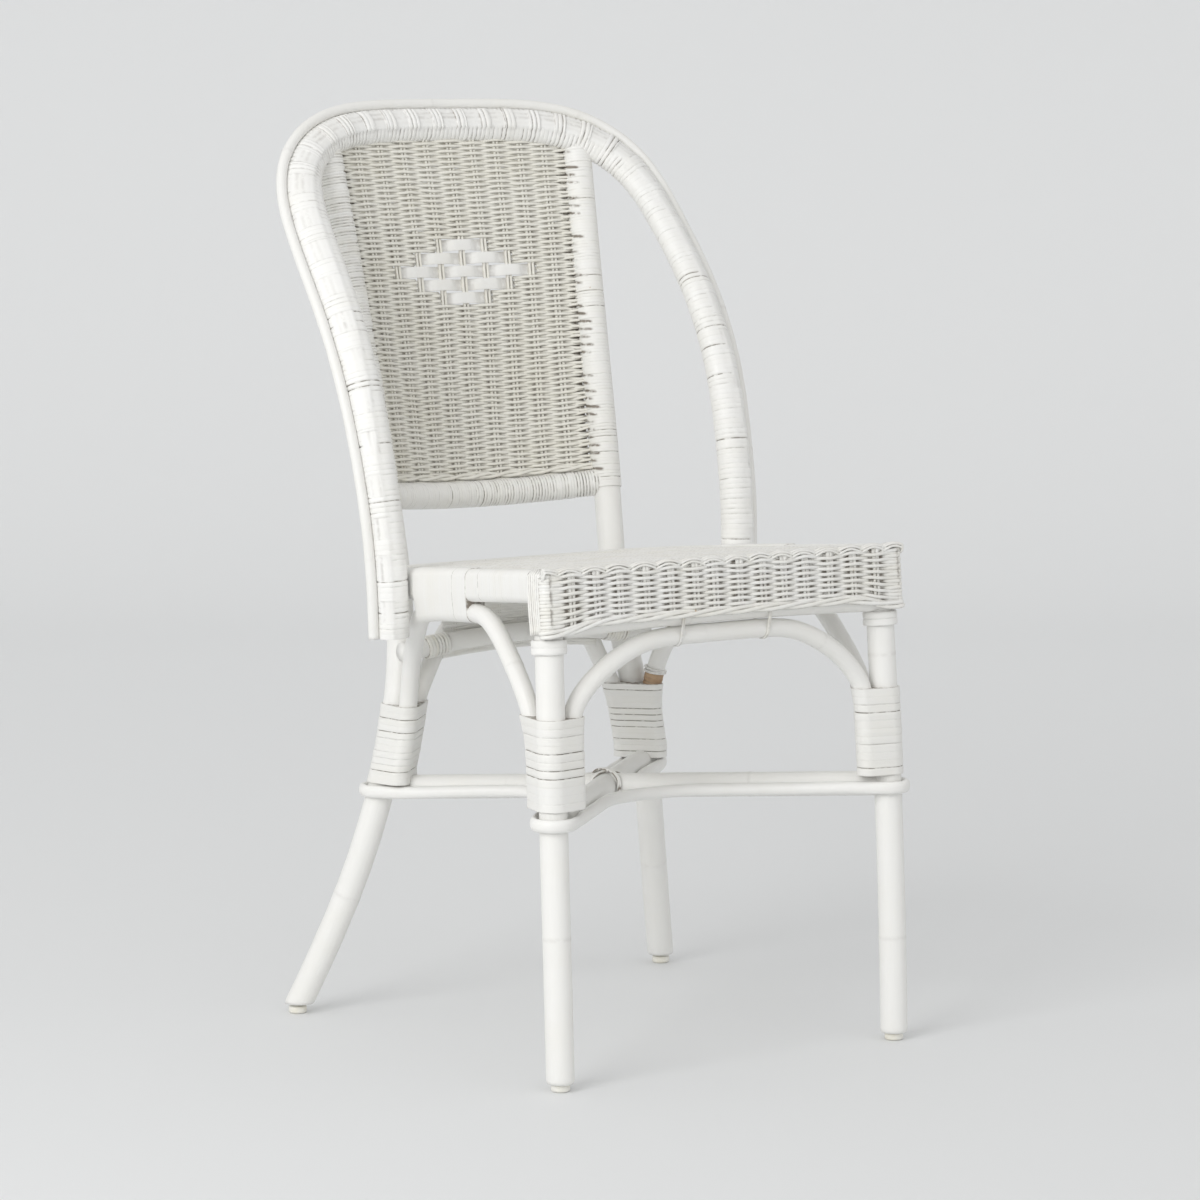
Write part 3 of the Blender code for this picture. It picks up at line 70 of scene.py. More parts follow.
def closedCurve(control, steps):
    # closed cubic B-spline: on each span the four nearest control points blended by cubic shares
    control = np.array(control, float)
    u = np.arange(steps) / steps
    basis = np.stack([(1 - u) ** 3, 3 * u**3 - 6 * u**2 + 4, -3 * u**3 + 3 * u**2 + 3 * u + 1, u**3], 1) / 6
    return np.concatenate([basis @ np.roll(control, -start, axis=0)[:4] for start in range(len(control))])


def distances(path):
    # how far along a path each point lies: the running sum of its steps
    return np.concatenate([[0], np.cumsum(np.linalg.norm(np.diff(path, axis=0), axis=1))])


def readOff(places, known, points):
    # points read at new places between the known ones, in straight shares of their neighbours
    return np.stack([np.interp(places, known, points[:, axis]) for axis in range(points.shape[1])], -1)


def at(path, axis, value):
    # places of a path where one coordinate, which grows along it, has the given values
    return readOff(value, path[:, axis], path)


def evenly(path, step):
    # the same line with points at equal steps of its length
    reach = distances(path)
    return readOff(np.linspace(0, reach[-1], max(int(reach[-1] / step), 3) + 1), reach, path)


def unit(vectors):
    # each vector over its own length
    return vectors / np.maximum(np.linalg.norm(vectors, axis=-1, keepdims=True), 1e-12)


def circle(count):
    # angles of points spread evenly once round
    return np.arange(count) / count * fullTurn


def ease(x):
    # smooth step from 0 to 1: three x squared less two x cubed
    x = np.clip(x, 0, 1)
    return x * x * (3 - 2 * x)


def bell(away, width):
    # 1 in the middle, falling off with the square of the distance over the width
    return np.exp(-(away / width) ** 2)


def signedPower(wave, power):
    # the wave's size raised to a power, its sign kept: squarer below 1
    return np.sign(wave) * np.abs(wave) ** power


def hashed(numbers, seed=0.0):
    # repeatable share from 0 to 1 for each number: the fraction of a large sine
    return np.mod(np.sin(np.asarray(numbers, float) * 12.9898 + seed * 78.233) * 43758.5453, 1.0)


def waver(places, seed, scale):
    # slow irregular swing within about one each way: three sines of unrelated wavelengths
    x = np.asarray(places, float) / scale
    return (np.sin(x * 1.7 + seed) + np.sin(x * 2.9 + seed * 2.3) + np.sin(x * 5.3 + seed * 4.1)) / 3


def plait(number, sharp=2.2):
    # over and under: a flattened wave, the tanh of the cosine of half turns
    return np.tanh(sharp * np.cos(np.pi * number)) / math.tanh(sharp)


def mirrored(path, side):
    # x times 1 or -1
    return path * np.array([side, 1, 1])


def bothHalves(half):
    # a line up to the middle plane, then its mirror image back down
    return np.concatenate([half, mirrored(half[-2::-1], -1)])


def sweep(paths, across, up, toward, closed=False):
    # sections carried along lines: each point is the line plus across times its side vector plus up times
    # its rise vector, where the rise is the part of "toward" that is square to the line
    before, after = np.roll(paths, 1, axis=1), np.roll(paths, -1, axis=1)
    tangent = unit(after - before if closed else np.gradient(paths, axis=1))
    side = unit(np.cross(tangent, np.broadcast_to(toward, tangent.shape)))
    rise = np.cross(side, tangent)
    return (paths[:, :, None] + np.asarray(across)[..., None] * side[:, :, None]
            + np.asarray(up)[..., None] * rise[:, :, None])


def gridFaces(count, rows, columns, closed=False):
    # quads between neighbouring rings, and one flat face over each open end
    index = np.arange(count * rows * columns).reshape(count, rows, columns)
    ends = [] if closed else [index[:, 0], index[:, -1, ::-1]]
    if closed:
        index = np.concatenate([index, index[:, :1]], 1)
    index = np.concatenate([index, index[:, :, :1]], 2)
    quads = np.stack([index[:, :-1, :-1], index[:, 1:, :-1], index[:, 1:, 1:], index[:, :-1, 1:]], -1)
    return [quads.reshape(-1, 4), *ends]


def gridPart(points, faces, lay, seam, tone):
    # points and faces with three attributes: lay runs along and across a strand, seam is dirt and painted
    # shade, tone its tint
    *lay, seam, tone = (np.broadcast_to(np.asarray(values, float), points.shape[:-1])
                        for values in (*lay, seam, tone))
    return {"points": points.reshape(-1, 3), "faces": faces, "lay": np.stack(lay, -1).reshape(-1, 3),
            "seam": seam.ravel(), "tone": tone.ravel()}


def tubes(paths, wide, tall, toward, sides=8, closed=False, seed=0.0, seam=0.8, flat=1.0, shade=0.0):
    # oval tubes along many lines at once: across is wide times the cosine, up is tall times the sine, each
    # raised to a power below one for flatter strips; shade is painted shade laid along a line
    paths = np.asarray(paths, float)
    paths = paths[None] if paths.ndim == 2 else paths
    count, rows = paths.shape[:2]
    wide, tall, shade = (np.broadcast_to(np.asarray(values, float), (count, rows))[..., None]
                         for values in (wide, tall, shade))
    cosine, sine = np.cos(circle(sides)), np.sin(circle(sides))
    points = sweep(paths, wide * signedPower(cosine, flat), tall * signedPower(sine, flat), toward, closed)
    along = np.stack([distances(path) for path in paths])[..., None]
    tone = hashed(np.arange(count), seed)[:, None, None]
    # dirt and painted shade on the sides facing the neighbouring strands, or the painted shade laid along the line
    crease = np.maximum(np.abs(cosine) ** 6 * seam, shade)
    return gridPart(points, gridFaces(count, rows, sides, closed),
                    (along + tone * 3, wide * cosine, tall * sine), crease, tone)


def makePiece(name, parts, material, nodes=None):
    # one mesh from parts that each hold points, faces and three attributes; unless told otherwise it stands for
    # the node of its own name, with each capital written as an underscore and a small letter
    if nodes is None:
        nodes = ["".join("_" + letter.lower() if letter.isupper() else letter for letter in name)]
    offsets = np.cumsum([0] + [len(part["points"]) for part in parts])
    points = np.concatenate([part["points"] for part in parts]) + [0, chair["middleShift"], 0]
    blocks = [faces + start for part, start in zip(parts, offsets) for faces in part["faces"] if len(faces)]
    mesh = bpy.data.meshes.new(name)
    mesh.vertices.add(len(points))
    mesh.vertices.foreach_set("co", points.astype(np.float32).ravel())
    totals = np.concatenate([np.full(len(block), block.shape[1]) for block in blocks])
    mesh.loops.add(int(totals.sum()))
    mesh.loops.foreach_set("vertex_index", np.concatenate([block.ravel() for block in blocks]).astype(np.int32))
    mesh.polygons.add(len(totals))
    mesh.polygons.foreach_set("loop_start", (np.cumsum(totals) - totals).astype(np.int32))
    mesh.polygons.foreach_set("use_smooth", np.ones(len(totals), bool))
    mesh.update(calc_edges=True)
    for label, kind, field in (("lay", "FLOAT_VECTOR", "vector"), ("seam", "FLOAT", "value"),
                               ("tone", "FLOAT", "value")):
        values = np.concatenate([part[label] for part in parts]).astype(np.float32).ravel()
        mesh.attributes.new(label, kind, "POINT").data.foreach_set(field, values)
    mesh.materials.append(material)
    piece = bpy.data.objects.new(name, mesh)
    bpy.context.scene.collection.objects.link(piece)
    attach(piece, "root")
    if nodes:
        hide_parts(*nodes)
    print("made", name, "with", len(totals), "faces")


# Lines of the poles, in metres

chair = {
    "seatHeight": 0.483, "seatFrontY": -0.205, "seatSlope": math.radians(5.35),
    "hoopTop": 0.8765, "hoopFoot": 0.393, "postHeight": 0.862, "backRail": 0.515,
    "frontFoot": (0.1946, 0.2136), "frontLegTop": 0.480, "rearFoot": (0.2235, 0.2202), "glideHeight": 0.007,
    "legWidth": 0.0266, "postWidth": 0.0272, "archWidth": 0.018, "clearance": 0.0003, "middleShift": 0.0,
}


def fromSeat(points):
    # a place on the seat's own sloping plane, given as x, distance behind the front rim and height above it
    points, slope = np.asarray(points, float), chair["seatSlope"]
    return np.stack([points[..., 0],
                     chair["seatFrontY"] + points[..., 1] * math.cos(slope) + points[..., 2] * math.sin(slope),
                     chair["seatHeight"] - points[..., 1] * math.sin(slope) + points[..., 2] * math.cos(slope)], -1)


def seatZ(y, depth):
    # height of a place on the seat at a given y, so far below its plane
    slope = chair["seatSlope"]
    along = (y - chair["seatFrontY"] + depth * math.sin(slope)) / math.cos(slope)
    return chair["seatHeight"] - along * math.sin(slope) - depth * math.cos(slope)


def limbLine(foot, top, shares, count):
    # a leg or post as a spline through shares of its foot's place and of its height
    return splineCurve([(x * foot[0], y * foot[1], z * top) for x, y, z in shares], count)


frontLeg = limbLine(chair["frontFoot"], chair["frontLegTop"], (
    (1.0, -1.0, 0.0), (1.006, -0.966, 0.42), (0.992, -0.915, 0.70), (0.977, -0.868, 1.0)), 160)
rearPost = limbLine(chair["rearFoot"], chair["postHeight"], (
    (1.0, 1.0, 0.0), (0.846, 0.838, 0.116), (0.737, 0.720, 0.232), (0.643, 0.681, 0.348),
    (0.561, 0.763, 0.464), (0.596, 0.852, 0.603), (0.623, 1.035, 0.789), (0.671, 1.236, 1.0)), 300)
glideLow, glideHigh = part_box("front_glide_left")
chair["middleShift"] = (glideLow[1] + glideHigh[1]) / 2 - at(frontLeg, 2, chair["glideHeight"])[1]

frameBar = {"width": 0.022, "height": 0.031, "edge": 0.008, "frontHalf": 0.204, "rearHalf": 0.187,
            "corner": 0.058, "hoopFootY": 0.0635, "postY": 0.1435}
frameBar["frontY"] = at(frontLeg, 2, seatZ(chair["seatFrontY"], frameBar["height"]))[1] + chair["legWidth"] / 2
frameBar["rearY"] = (at(rearPost, 2, seatZ(frameBar["postY"], frameBar["height"]))[1]
                     - (chair["postWidth"] + frameBar["width"]) / 2 - chair["clearance"])


def frameSideX(y):
    # the side bar's middle runs straight from its front half width to its rear one
    share = (y - frameBar["frontY"]) / (frameBar["hoopFootY"] - frameBar["frontY"])
    return frameBar["frontHalf"] + (frameBar["rearHalf"] - frameBar["frontHalf"]) * share - frameBar["width"] / 2


def frameHalfLine():
    # side bar, an arc of the corner radius and half the rear bar, in plan
    start = np.array([frameSideX(frameBar["frontY"]), frameBar["frontY"]])
    corner = np.array([frameSideX(frameBar["rearY"]), frameBar["rearY"]])
    inward, across = unit(start - corner), np.array([-1.0, 0.0])
    half = math.acos(float(inward @ across)) / 2
    centre = corner + unit(inward + across) * frameBar["corner"] / math.sin(half)
    begin, end = (corner + way * frameBar["corner"] / math.tan(half) for way in (inward, across))
    first, last = (math.atan2(*(spot - centre)[::-1]) for spot in (begin, end))
    angles = np.linspace(first, last, 24)
    arc = centre + frameBar["corner"] * np.stack([np.cos(angles), np.sin(angles)], 1)
    plan = np.concatenate([[start], arc, [[0.0, frameBar["rearY"]]]])
    return np.column_stack([plan, np.zeros(len(plan))])


hoop = {"width": 0.030, "armLong": 0.032, "shoulderLong": 0.038, "topLong": 0.0345, "short": 0.0272,
        "turn": math.radians(34), "rod": 0.0104, "rodTurn": math.radians(6), "setback": 0.019}


def hoopLine():
    # half a hoop from its foot beside the seat frame up to its top, by shares of the foot's x, the run back and
    # the rise, then its mirror image
    footX = frameSideX(frameBar["hoopFootY"]) + frameBar["width"] / 2 + chair["clearance"] + hoop["width"] / 2
    topY = rearPost[-1, 1] + hoop["setback"]
    shares = ((1.0, 0.0, 0.0), (1.017, -0.017, 0.155), (1.033, 0.050, 0.322), (1.051, 0.152, 0.497),
              (1.055, 0.336, 0.655), (1.044, 0.588, 0.792), (0.994, 0.800, 0.917), (0.683, 0.955, 1.0),
              (0.33, 0.99, 1.0), (0.0, 1.0, 1.0))
    control = [(x * footX, frameBar["hoopFootY"] + y * (topY - frameBar["hoopFootY"]),
                chair["hoopFoot"] + z * (chair["hoopTop"] - chair["hoopFoot"])) for x, y, z in shares]
    return bothHalves(splineCurve(control, 400))


def hoopFrames(line):
    # out of the hoop and to its back, both square to the line
    tangent = unit(np.gradient(line, axis=0))
    outward = unit(np.cross(tangent, [0.0, -1.0, 0.0]))
    return outward, np.cross(tangent, outward)


def hoopHalves(line):
    # half axes of the oval: round at the feet, widest at the shoulders
    rise = (line[:, 2] - chair["hoopFoot"]) / (chair["hoopTop"] - chair["hoopFoot"])
    places = (0.0, 0.35, 0.72, 0.90, 1.0)
    longs = np.interp(rise, places, (hoop["width"], hoop["armLong"], hoop["shoulderLong"],
                                     hoop["shoulderLong"], hoop["topLong"]))
    shorts = np.interp(rise, places, (hoop["width"], hoop["width"], hoop["short"], hoop["short"], hoop["short"]))
    return longs / 2, shorts / 2


panel = {"bowBottom": 0.034, "bowTop": 0.009, "bowShare": 0.76}
panelLean = math.atan2(np.diff(at(rearPost, 2, [chair["backRail"], chair["postHeight"]])[:, 1])[0],
                       chair["postHeight"] - chair["backRail"])
panelUp = (0, -1, 0.3)


def panelPoint(across, height, forward):
    # the panel bows back square to its lean by a parabola across it, deep at the rail and shallow at the top
    across, height, forward = np.broadcast_arrays(*(np.asarray(v, float) for v in (across, height, forward)))
    post = at(rearPost, 2, height)
    share = (height - chair["backRail"]) / (chair["hoopTop"] - chair["backRail"])
    deep = (1 + np.cos(np.pi * np.clip(share / panel["bowShare"], 0, 1))) / 2
    bow = panel["bowTop"] + (panel["bowBottom"] - panel["bowTop"]) * deep
    forward = forward - bow * (1 - (across / post[..., 0]) ** 2)
    return np.stack([across, post[..., 1] - forward * math.cos(panelLean),
                     height + forward * math.sin(panelLean)], -1)


rails = {"front": 0.025, "frontDrop": 0.0485, "frontSag": 0.004, "behindLeg": 0.003, "rim": 0.022,
         "rimDrop": 0.0156, "rear": 0.0185, "rearDrop": 0.074, "rearSag": 0.010, "rearOver": 0.014}


def legSpan(depth, sag):
    # a pole between the front legs whose ends drop by the square of the distance from the middle
    leg = at(frontLeg, 2, chair["seatHeight"] - depth)
    x = np.linspace(-leg[0], leg[0], 81)
    return np.stack([x, np.full(81, leg[1] - rails["behindLeg"]),
                     seatZ(leg[1], depth) - sag * (x / leg[0]) ** 2], 1)


def rearRailLine():
    # a pole in front of the rear posts that sags by the square of the distance and runs on level past them
    height = seatZ(frameBar["rearY"], rails["rearDrop"])
    post = at(rearPost, 2, height - rails["rearSag"])
    y = post[1] - (chair["postWidth"] + rails["rear"]) / 2 - chair["clearance"] * 2
    reach = post[0] + rails["rearOver"]
    x = np.linspace(-reach, reach, 121)
    return np.stack([x, np.full(121, y), height - rails["rearSag"] * np.minimum(np.abs(x) / post[0], 1) ** 2], 1)


frontRail, rearRail = legSpan(rails["frontDrop"], rails["frontSag"]), rearRailLine()
wraps = {"frontBottom": 0.260, "frontLength": 0.084, "frontStart": 0.006, "rearBottom": 0.236,
         "rearLength": 0.077, "rearStart": 0.012, "bound": 0.84, "sideFront": -0.055, "sideLength": 0.104}
arches = {"rearGap": 0.0039, "rearRise": 0.150, "crownStart": 0.006, "halfPoints": 140, "sidePoints": 220}


def boundStations(end, leg, gap):
    # three places beside a leg, spread over the bound part of its wrap
    start = wraps[end + "Start"]
    heights = wraps[end + "Bottom"] + start + (wraps[end + "Length"] - start) * wraps["bound"] * np.array([0, 0.5, 1])
    return list(at(leg, 2, heights) + gap)


def crossArch(feet, crownY, crownZ, shares):
    # from the inner side of a leg up to a level crown on the middle plane, by shares of its x and of its rise
    last = feet[-1]
    control = feet + [(x * last[0], last[1] + min(z / (1 - wraps["bound"]), 1) * (crownY - last[1]),
                       last[2] + z * (crownZ - last[2])) for x, z in shares]
    return bothHalves(splineCurve(control, arches["halfPoints"]))


legGap, postGap = ((width + chair["archWidth"]) / 2 + chair["clearance"]
                   for width in (chair["legWidth"], chair["postWidth"]))
frontArch = crossArch(boundStations("front", frontLeg, (-legGap, 0, 0)), frontRail[40, 1],
                      frontRail[40, 2] - (rails["front"] + chair["archWidth"]) / 2 - chair["clearance"] * 2,
                      ((0.985, 0.25), (0.84, 0.60), (0.62, 0.88), (0.44, 1.0), (0.22, 1.0), (0.0, 1.0)))
rearArch = crossArch(boundStations("rear", rearPost, (-postGap, 0, 0)),
                     rearRail[0, 1] + (rails["rear"] + chair["archWidth"]) / 2 + arches["rearGap"],
                     wraps["rearBottom"] + wraps["rearStart"] + arches["rearRise"],
                     ((0.955, 0.15), (0.82, 0.48), (0.66, 0.86), (0.45, 1.0), (0.22, 1.0), (0.0, 1.0)))


def sideArchLine():
    # from behind a front leg, under the seat frame's side, down to the front of a rear post
    front = boundStations("front", frontLeg, (0, legGap, 0))
    rear = boundStations("rear", rearPost, (0, -postGap, 0))[::-1]
    depth = frameBar["height"] + chair["clearance"] * 2 + chair["archWidth"] / 2
    crown = [np.array([frameSideX(y), y, seatZ(y, depth)])
             for y in (wraps["sideFront"] - arches["crownStart"], wraps["sideFront"] + wraps["sideLength"])]

    def between(start, end, planShare, heightShare):
        # a place between two others by one share of the way in plan and another of the height
        spot = start + (end - start) * planShare
        spot[2] = start[2] + (end[2] - start[2]) * heightShare
        return spot

    return splineCurve([*front, between(front[-1], crown[0], 0.30, 0.46), between(front[-1], crown[0], 0.74, 0.95),
                        crown[0], (crown[0] + crown[1]) / 2, crown[1], between(crown[1], rear[0], 0.30, 0.14),
                        between(crown[1], rear[0], 0.78, 0.50), *rear], arches["sidePoints"])


sideArch = sideArchLine()
stretchers = {"width": 0.024, "frontHeight": 0.250, "rearHeight": 0.230, "rod": 0.0122, "rodDrop": 0.002,
              "rodRound": 0.0046, "rodTurn": math.radians(45), "rodStart": 0.075, "rodCorners": (0.46, 0.64),
              "rodOpens": 1.8, "paredTo": 0.62, "paredFrom": 0.022, "paredOver": 0.030}


def stretcherLine(side):
    # straight from a front leg to the rear post across from it
    front = mirrored(at(frontLeg, 2, stretchers["frontHeight"]), side)
    rear = mirrored(at(rearPost, 2, stretchers["rearHeight"]), -side)
    return front + (rear - front) * np.linspace(0, 1, 60)[:, None]


firstEnd, lastEnd = stretcherLine(1)[0], stretcherLine(1)[-1]
crossing = firstEnd + (lastEnd - firstEnd) * firstEnd[0] / (firstEnd[0] - lastEnd[0])


def ringRodLine():
    # along one side of each stretcher, round its leg and back, as a closed spline through its corners
    touching = (stretchers["width"] + stretchers["rod"]) / 2 + chair["clearance"] * 2
    turn, drop = stretchers["rodTurn"], stretchers["rodDrop"]
    sideStep = math.sqrt(touching**2 - drop**2)
    swell = 3 / (2 + math.cos(turn))
    front = (frontLeg, stretchers["frontHeight"], chair["legWidth"])
    rear = (rearPost, stretchers["rearHeight"], chair["postWidth"])
    control = []
    for line, height, width, side in ((*front, 1), (*rear, 1), (*rear, -1), (*front, -1)):
        low = height - drop
        leg = mirrored(at(line, 2, low), side)
        way = (leg - crossing) * (1, 1, 0)
        length = np.linalg.norm(way)
        way = way / length
        aside = np.array([way[1], -way[0], 0])
        ring = width / 2 + stretchers["rodRound"]
        middle, base = crossing[2] - drop, crossing * (1, 1, 0)
        for sign in (1, -1):
            points = [base + way * far + sign * aside * sideStep
                      + np.array([0, 0, middle + (low - middle) * far / length])
                      for far in (stretchers["rodStart"], *(length * share for share in stretchers["rodCorners"]))]
            points.append(base + way * (length - ring * stretchers["rodOpens"]) + sign * aside * ring * swell
                          + np.array([0, 0, low]))
            points += [leg + ring * swell * (math.cos(angle) * way + sign * math.sin(angle) * aside)
                       for angle in (turn * 2, turn)]
            control += points + [leg + ring * swell * way] if sign > 0 else points[::-1]
    return closedCurve(control, 9)


# Finishes

# the grime colour is for dirt and also for painted shade in creases, gaps and recesses
paint = {"white": (0.86, 0.855, 0.83), "cream": (0.80, 0.776, 0.685), "grimeAndShade": (0.25, 0.22, 0.185),
         "bareCane": (0.50, 0.36, 0.22)}
brushwork = {"patches": 22.0, "specks": 160.0, "grain": 900.0, "streaks": 2.6, "stretch": (9.0, 260.0, 260.0),
             "fineDepth": 0.0004, "coarseDepth": 0.0010}


def paintedFinish(name, warm=0.1, crease=0.5, streakDepth=0.25, grainDepth=0.12, worn=0.60, roughness=0.42,
                  light=None, deep=None):
    # brushed white paint: white drifting to cream in slow patches and by strand, dirt and painted shade where
    # strands meet, small chips down to the cane, and fine streaks along the cane as bump
    material = bpy.data.materials.new(name)
    material.use_nodes = True
    nodes, links = material.node_tree.nodes, material.node_tree.links
    shader = nodes["Principled BSDF"]

    def add(kind, **values):
        # a new node whose inputs or settings take the values by name
        node = nodes.new(kind)
        for key, value in values.items():
            if key in node.inputs:
                node.inputs[key].default_value = value
            else:
                setattr(node, key, value)
        return node

    def feed(source, socket):
        # a socket takes a link from another socket, or a plain number or colour
        if isinstance(source, tuple):
            socket.default_value = (*source, 1)
        elif isinstance(source, float):
            socket.default_value = source
        else:
            links.new(source, socket)

    def ramp(source, low, high):
        # 0 at the low value up to 1 at the high one, eased at both
        node = add("ShaderNodeMapRange", interpolation_type="SMOOTHSTEP")
        for socket, value in (("From Min", low), ("From Max", high), ("Value", source.outputs["Fac"])):
            feed(value, node.inputs[socket])
        return node.outputs[0]

    def times(*values):
        # the first two values multiplied, plus the third where there is one
        node = add("ShaderNodeMath", operation="MULTIPLY_ADD" if len(values) > 2 else "MULTIPLY")
        for value, socket in zip(values, node.inputs):
            feed(value, socket)
        return node.outputs[0]

    def blend(factor, first, second):
        # the first colour times what the factor leaves, plus the second times the factor
        node = add("ShaderNodeMix", data_type="RGBA")
        for value, socket in ((factor, node.inputs["Factor"]), (first, node.inputs[6]), (second, node.inputs[7])):
            feed(value, socket)
        return node.outputs[2]

    place = add("ShaderNodeTexCoord")
    lay, seam, tone = (add("ShaderNodeAttribute", attribute_name=label) for label in ("lay", "seam", "tone"))
    patches = add("ShaderNodeTexNoise", Scale=brushwork["patches"], Detail=4.0, Roughness=0.6)
    specks = add("ShaderNodeTexNoise", Scale=brushwork["specks"], Detail=3.0, Roughness=0.55)
    grain = add("ShaderNodeTexNoise", Scale=brushwork["grain"], Detail=2.0)
    for texture in (patches, specks, grain):
        links.new(place.outputs["Object"], texture.inputs["Vector"])
    stretch = add("ShaderNodeMapping", Scale=brushwork["stretch"])
    links.new(lay.outputs["Vector"], stretch.inputs["Vector"])
    streaks = add("ShaderNodeTexNoise", Scale=brushwork["streaks"], Detail=5.0, Roughness=0.6)
    links.new(stretch.outputs["Vector"], streaks.inputs["Vector"])

    warmth = times(tone.outputs["Fac"], warm, times(ramp(patches, 0.42, 0.68), warm * 1.6))
    colour = blend(warmth, light or paint["white"], deep or paint["cream"])
    # dirt and painted shade: the seam attribute, patchy by specks, darkens the colour towards the grime colour
    dirt = times(times(seam.outputs["Fac"], ramp(specks, 0.30, 0.62)), crease)
    colour = blend(dirt, colour, paint["grimeAndShade"])
    chips = times(ramp(specks, 0.70, 0.74), ramp(patches, worn, worn + 0.05))
    links.new(blend(chips, colour, paint["bareCane"]), shader.inputs["Base Color"])

    gloss = add("ShaderNodeMapRange")
    links.new(specks.outputs["Fac"], gloss.inputs["Value"])
    gloss.inputs["To Min"].default_value, gloss.inputs["To Max"].default_value = roughness - 0.07, roughness + 0.12
    links.new(gloss.outputs[0], shader.inputs["Roughness"])
    fine = add("ShaderNodeBump", Strength=grainDepth, Distance=brushwork["fineDepth"])
    coarse = add("ShaderNodeBump", Strength=streakDepth, Distance=brushwork["coarseDepth"])
    for source, socket in ((grain.outputs["Fac"], fine.inputs["Height"]),
                           (streaks.outputs["Fac"], coarse.inputs["Height"]),
                           (fine.outputs["Normal"], coarse.inputs["Normal"]),
                           (coarse.outputs["Normal"], shader.inputs["Normal"])):
        links.new(source, socket)
    return material


wound = {"warm": 0.10, "crease": 0.95, "streakDepth": 0.30, "worn": 0.64, "roughness": 0.45}
woven = {"warm": 0.19, "crease": 0.80, "streakDepth": 0.22, "worn": 0.62, "roughness": 0.50}
poleFinish = paintedFinish("poleFinish", warm=0.07, crease=0.4, streakDepth=0.30, worn=0.66)
wrapFinish = paintedFinish("wrapFinish", **wound)
# the hoop's paint is a lighter copy of the wound finish: painted light on the hoop
hoopPaintedLightFinish = paintedFinish("hoopPaintedLightFinish", **{**wound, "warm": 0.08}, light=(0.885, 0.881, 0.860))
# the leg wraps' paint is a darker copy of the wound finish: painted shade on the leg wraps
legWrapFinish = paintedFinish("legWrapFinish", **wound, light=(0.825, 0.82, 0.793))
weaveFinish = paintedFinish("weaveFinish", **woven, light=(0.875, 0.87, 0.845))
panelFinish = paintedFinish("panelFinish", **{**woven, "warm": 0.26}, light=(0.835, 0.82, 0.755))
ribbonFinish = paintedFinish("ribbonFinish", warm=0.16, crease=0.6, streakDepth=0.35, worn=0.70)
caneFinish = paintedFinish("caneFinish", warm=0.55, crease=0.8, streakDepth=0.35, worn=0.56, roughness=0.48)
glideFinish = paintedFinish("glideFinish", warm=0.75, crease=0.3, streakDepth=0.0, grainDepth=0.2, worn=0.9)
bareFinish = paintedFinish("bareFinish", warm=0.9, crease=0.9, streakDepth=0.4, worn=0.9, roughness=0.5,
                           light=(0.60, 0.44, 0.28), deep=(0.34, 0.21, 0.12))
print("finishes ready")


# Smooth poles

knuckle = {"every": 0.215, "rise": 0.00030, "length": 0.0022, "line": 0.0010, "dirt": 0.3, "step": 0.0032,
           "wander": 0.00012}
poleEnd = {"bottom": 0.0074, "legTop": 0.4775, "cutOver": 0.025, "rim": 0.0006, "rimShare": 0.93}


def poleParts(line, width, toward, seed, sides=28, cutFoot=False):
    # a round pole whose radius swells by a bell curve at each rattan knuckle and wanders a little; a cut foot is
    # slid along the pole until it is level, by less the higher it is
    line = evenly(line, knuckle["step"])
    along = distances(line)
    count = int(along[-1] / knuckle["every"]) + 1
    spots = (np.arange(count) + 0.35 + 0.4 * hashed(np.arange(count), seed)) * knuckle["every"]
    away = along[:, None] - spots
    radius = (width / 2 + knuckle["rise"] * bell(away, knuckle["length"]).sum(1)
              + knuckle["wander"] * waver(along, seed * 9, 0.03))
    part = tubes(line, radius, radius, toward, sides, seed=seed, seam=0.0)
    part["seam"] = part["seam"] + np.repeat(bell(away, knuckle["line"]).sum(1) * knuckle["dirt"], sides)
    if cutFoot:
        points = part["points"].reshape(-1, sides, 3)
        tangent = unit(np.gradient(line, axis=0))
        share = np.clip(1 - along / poleEnd["cutOver"], 0, 1)[:, None]
        slant = (points[..., 2] - line[:, None, 2]) / tangent[:, None, 2] * share
        points -= slant[..., None] * tangent[:, None]
        rim = np.where(along < poleEnd["rim"], poleEnd["rimShare"], 1.0)[:, None, None]
        part["points"] = (line[:, None] + (points - line[:, None]) * rim).reshape(-1, 3)
    return part


def buildPoles():
    # each pole is a round section carried along its line
    leg = frontLeg[(frontLeg[:, 2] > poleEnd["bottom"]) & (frontLeg[:, 2] < poleEnd["legTop"])]
    post = rearPost[rearPost[:, 2] > poleEnd["bottom"]]
    for sideName, side in bothSides:
        for name, line, width, toward, seed, sides, cutFoot in (
                ("frontLeg", mirrored(leg, side), chair["legWidth"], (0, -1, 0), 1.3, 28, True),
                ("rearPost", mirrored(post, side), chair["postWidth"], (0, -1, 0), 2.9, 28, True),
                ("sideArch", mirrored(sideArch, side), chair["archWidth"], (1, 0, 0), 4.1, 22, False),
                ("stretcher", stretcherLine(side), stretchers["width"], (0, 0, 1), 5.7, 24, False)):
            makePiece(f"{name}_{sideName}", [poleParts(line, width, toward, seed + side, sides, cutFoot)],
                      poleFinish)
    for name, line, width, toward, node in (
            ("frontArch", frontArch, chair["archWidth"], (0, 1, 0), "front_arch"),
            ("rearArch", rearArch, chair["archWidth"], (0, 1, 0), "rear_arch"),
            ("frontRail", frontRail, rails["front"], (0, 0, 1), "seat_front_rail"),
            ("rearRail", rearRail, rails["rear"], (0, 0, 1), "rear_rail"),
            ("rimPole", legSpan(rails["rimDrop"], 0), rails["rim"], (0, 0, 1), "seat_rim_pole")):
        makePiece(name, [poleParts(line, width, toward, len(name) * 0.7, 24)], poleFinish, [node])


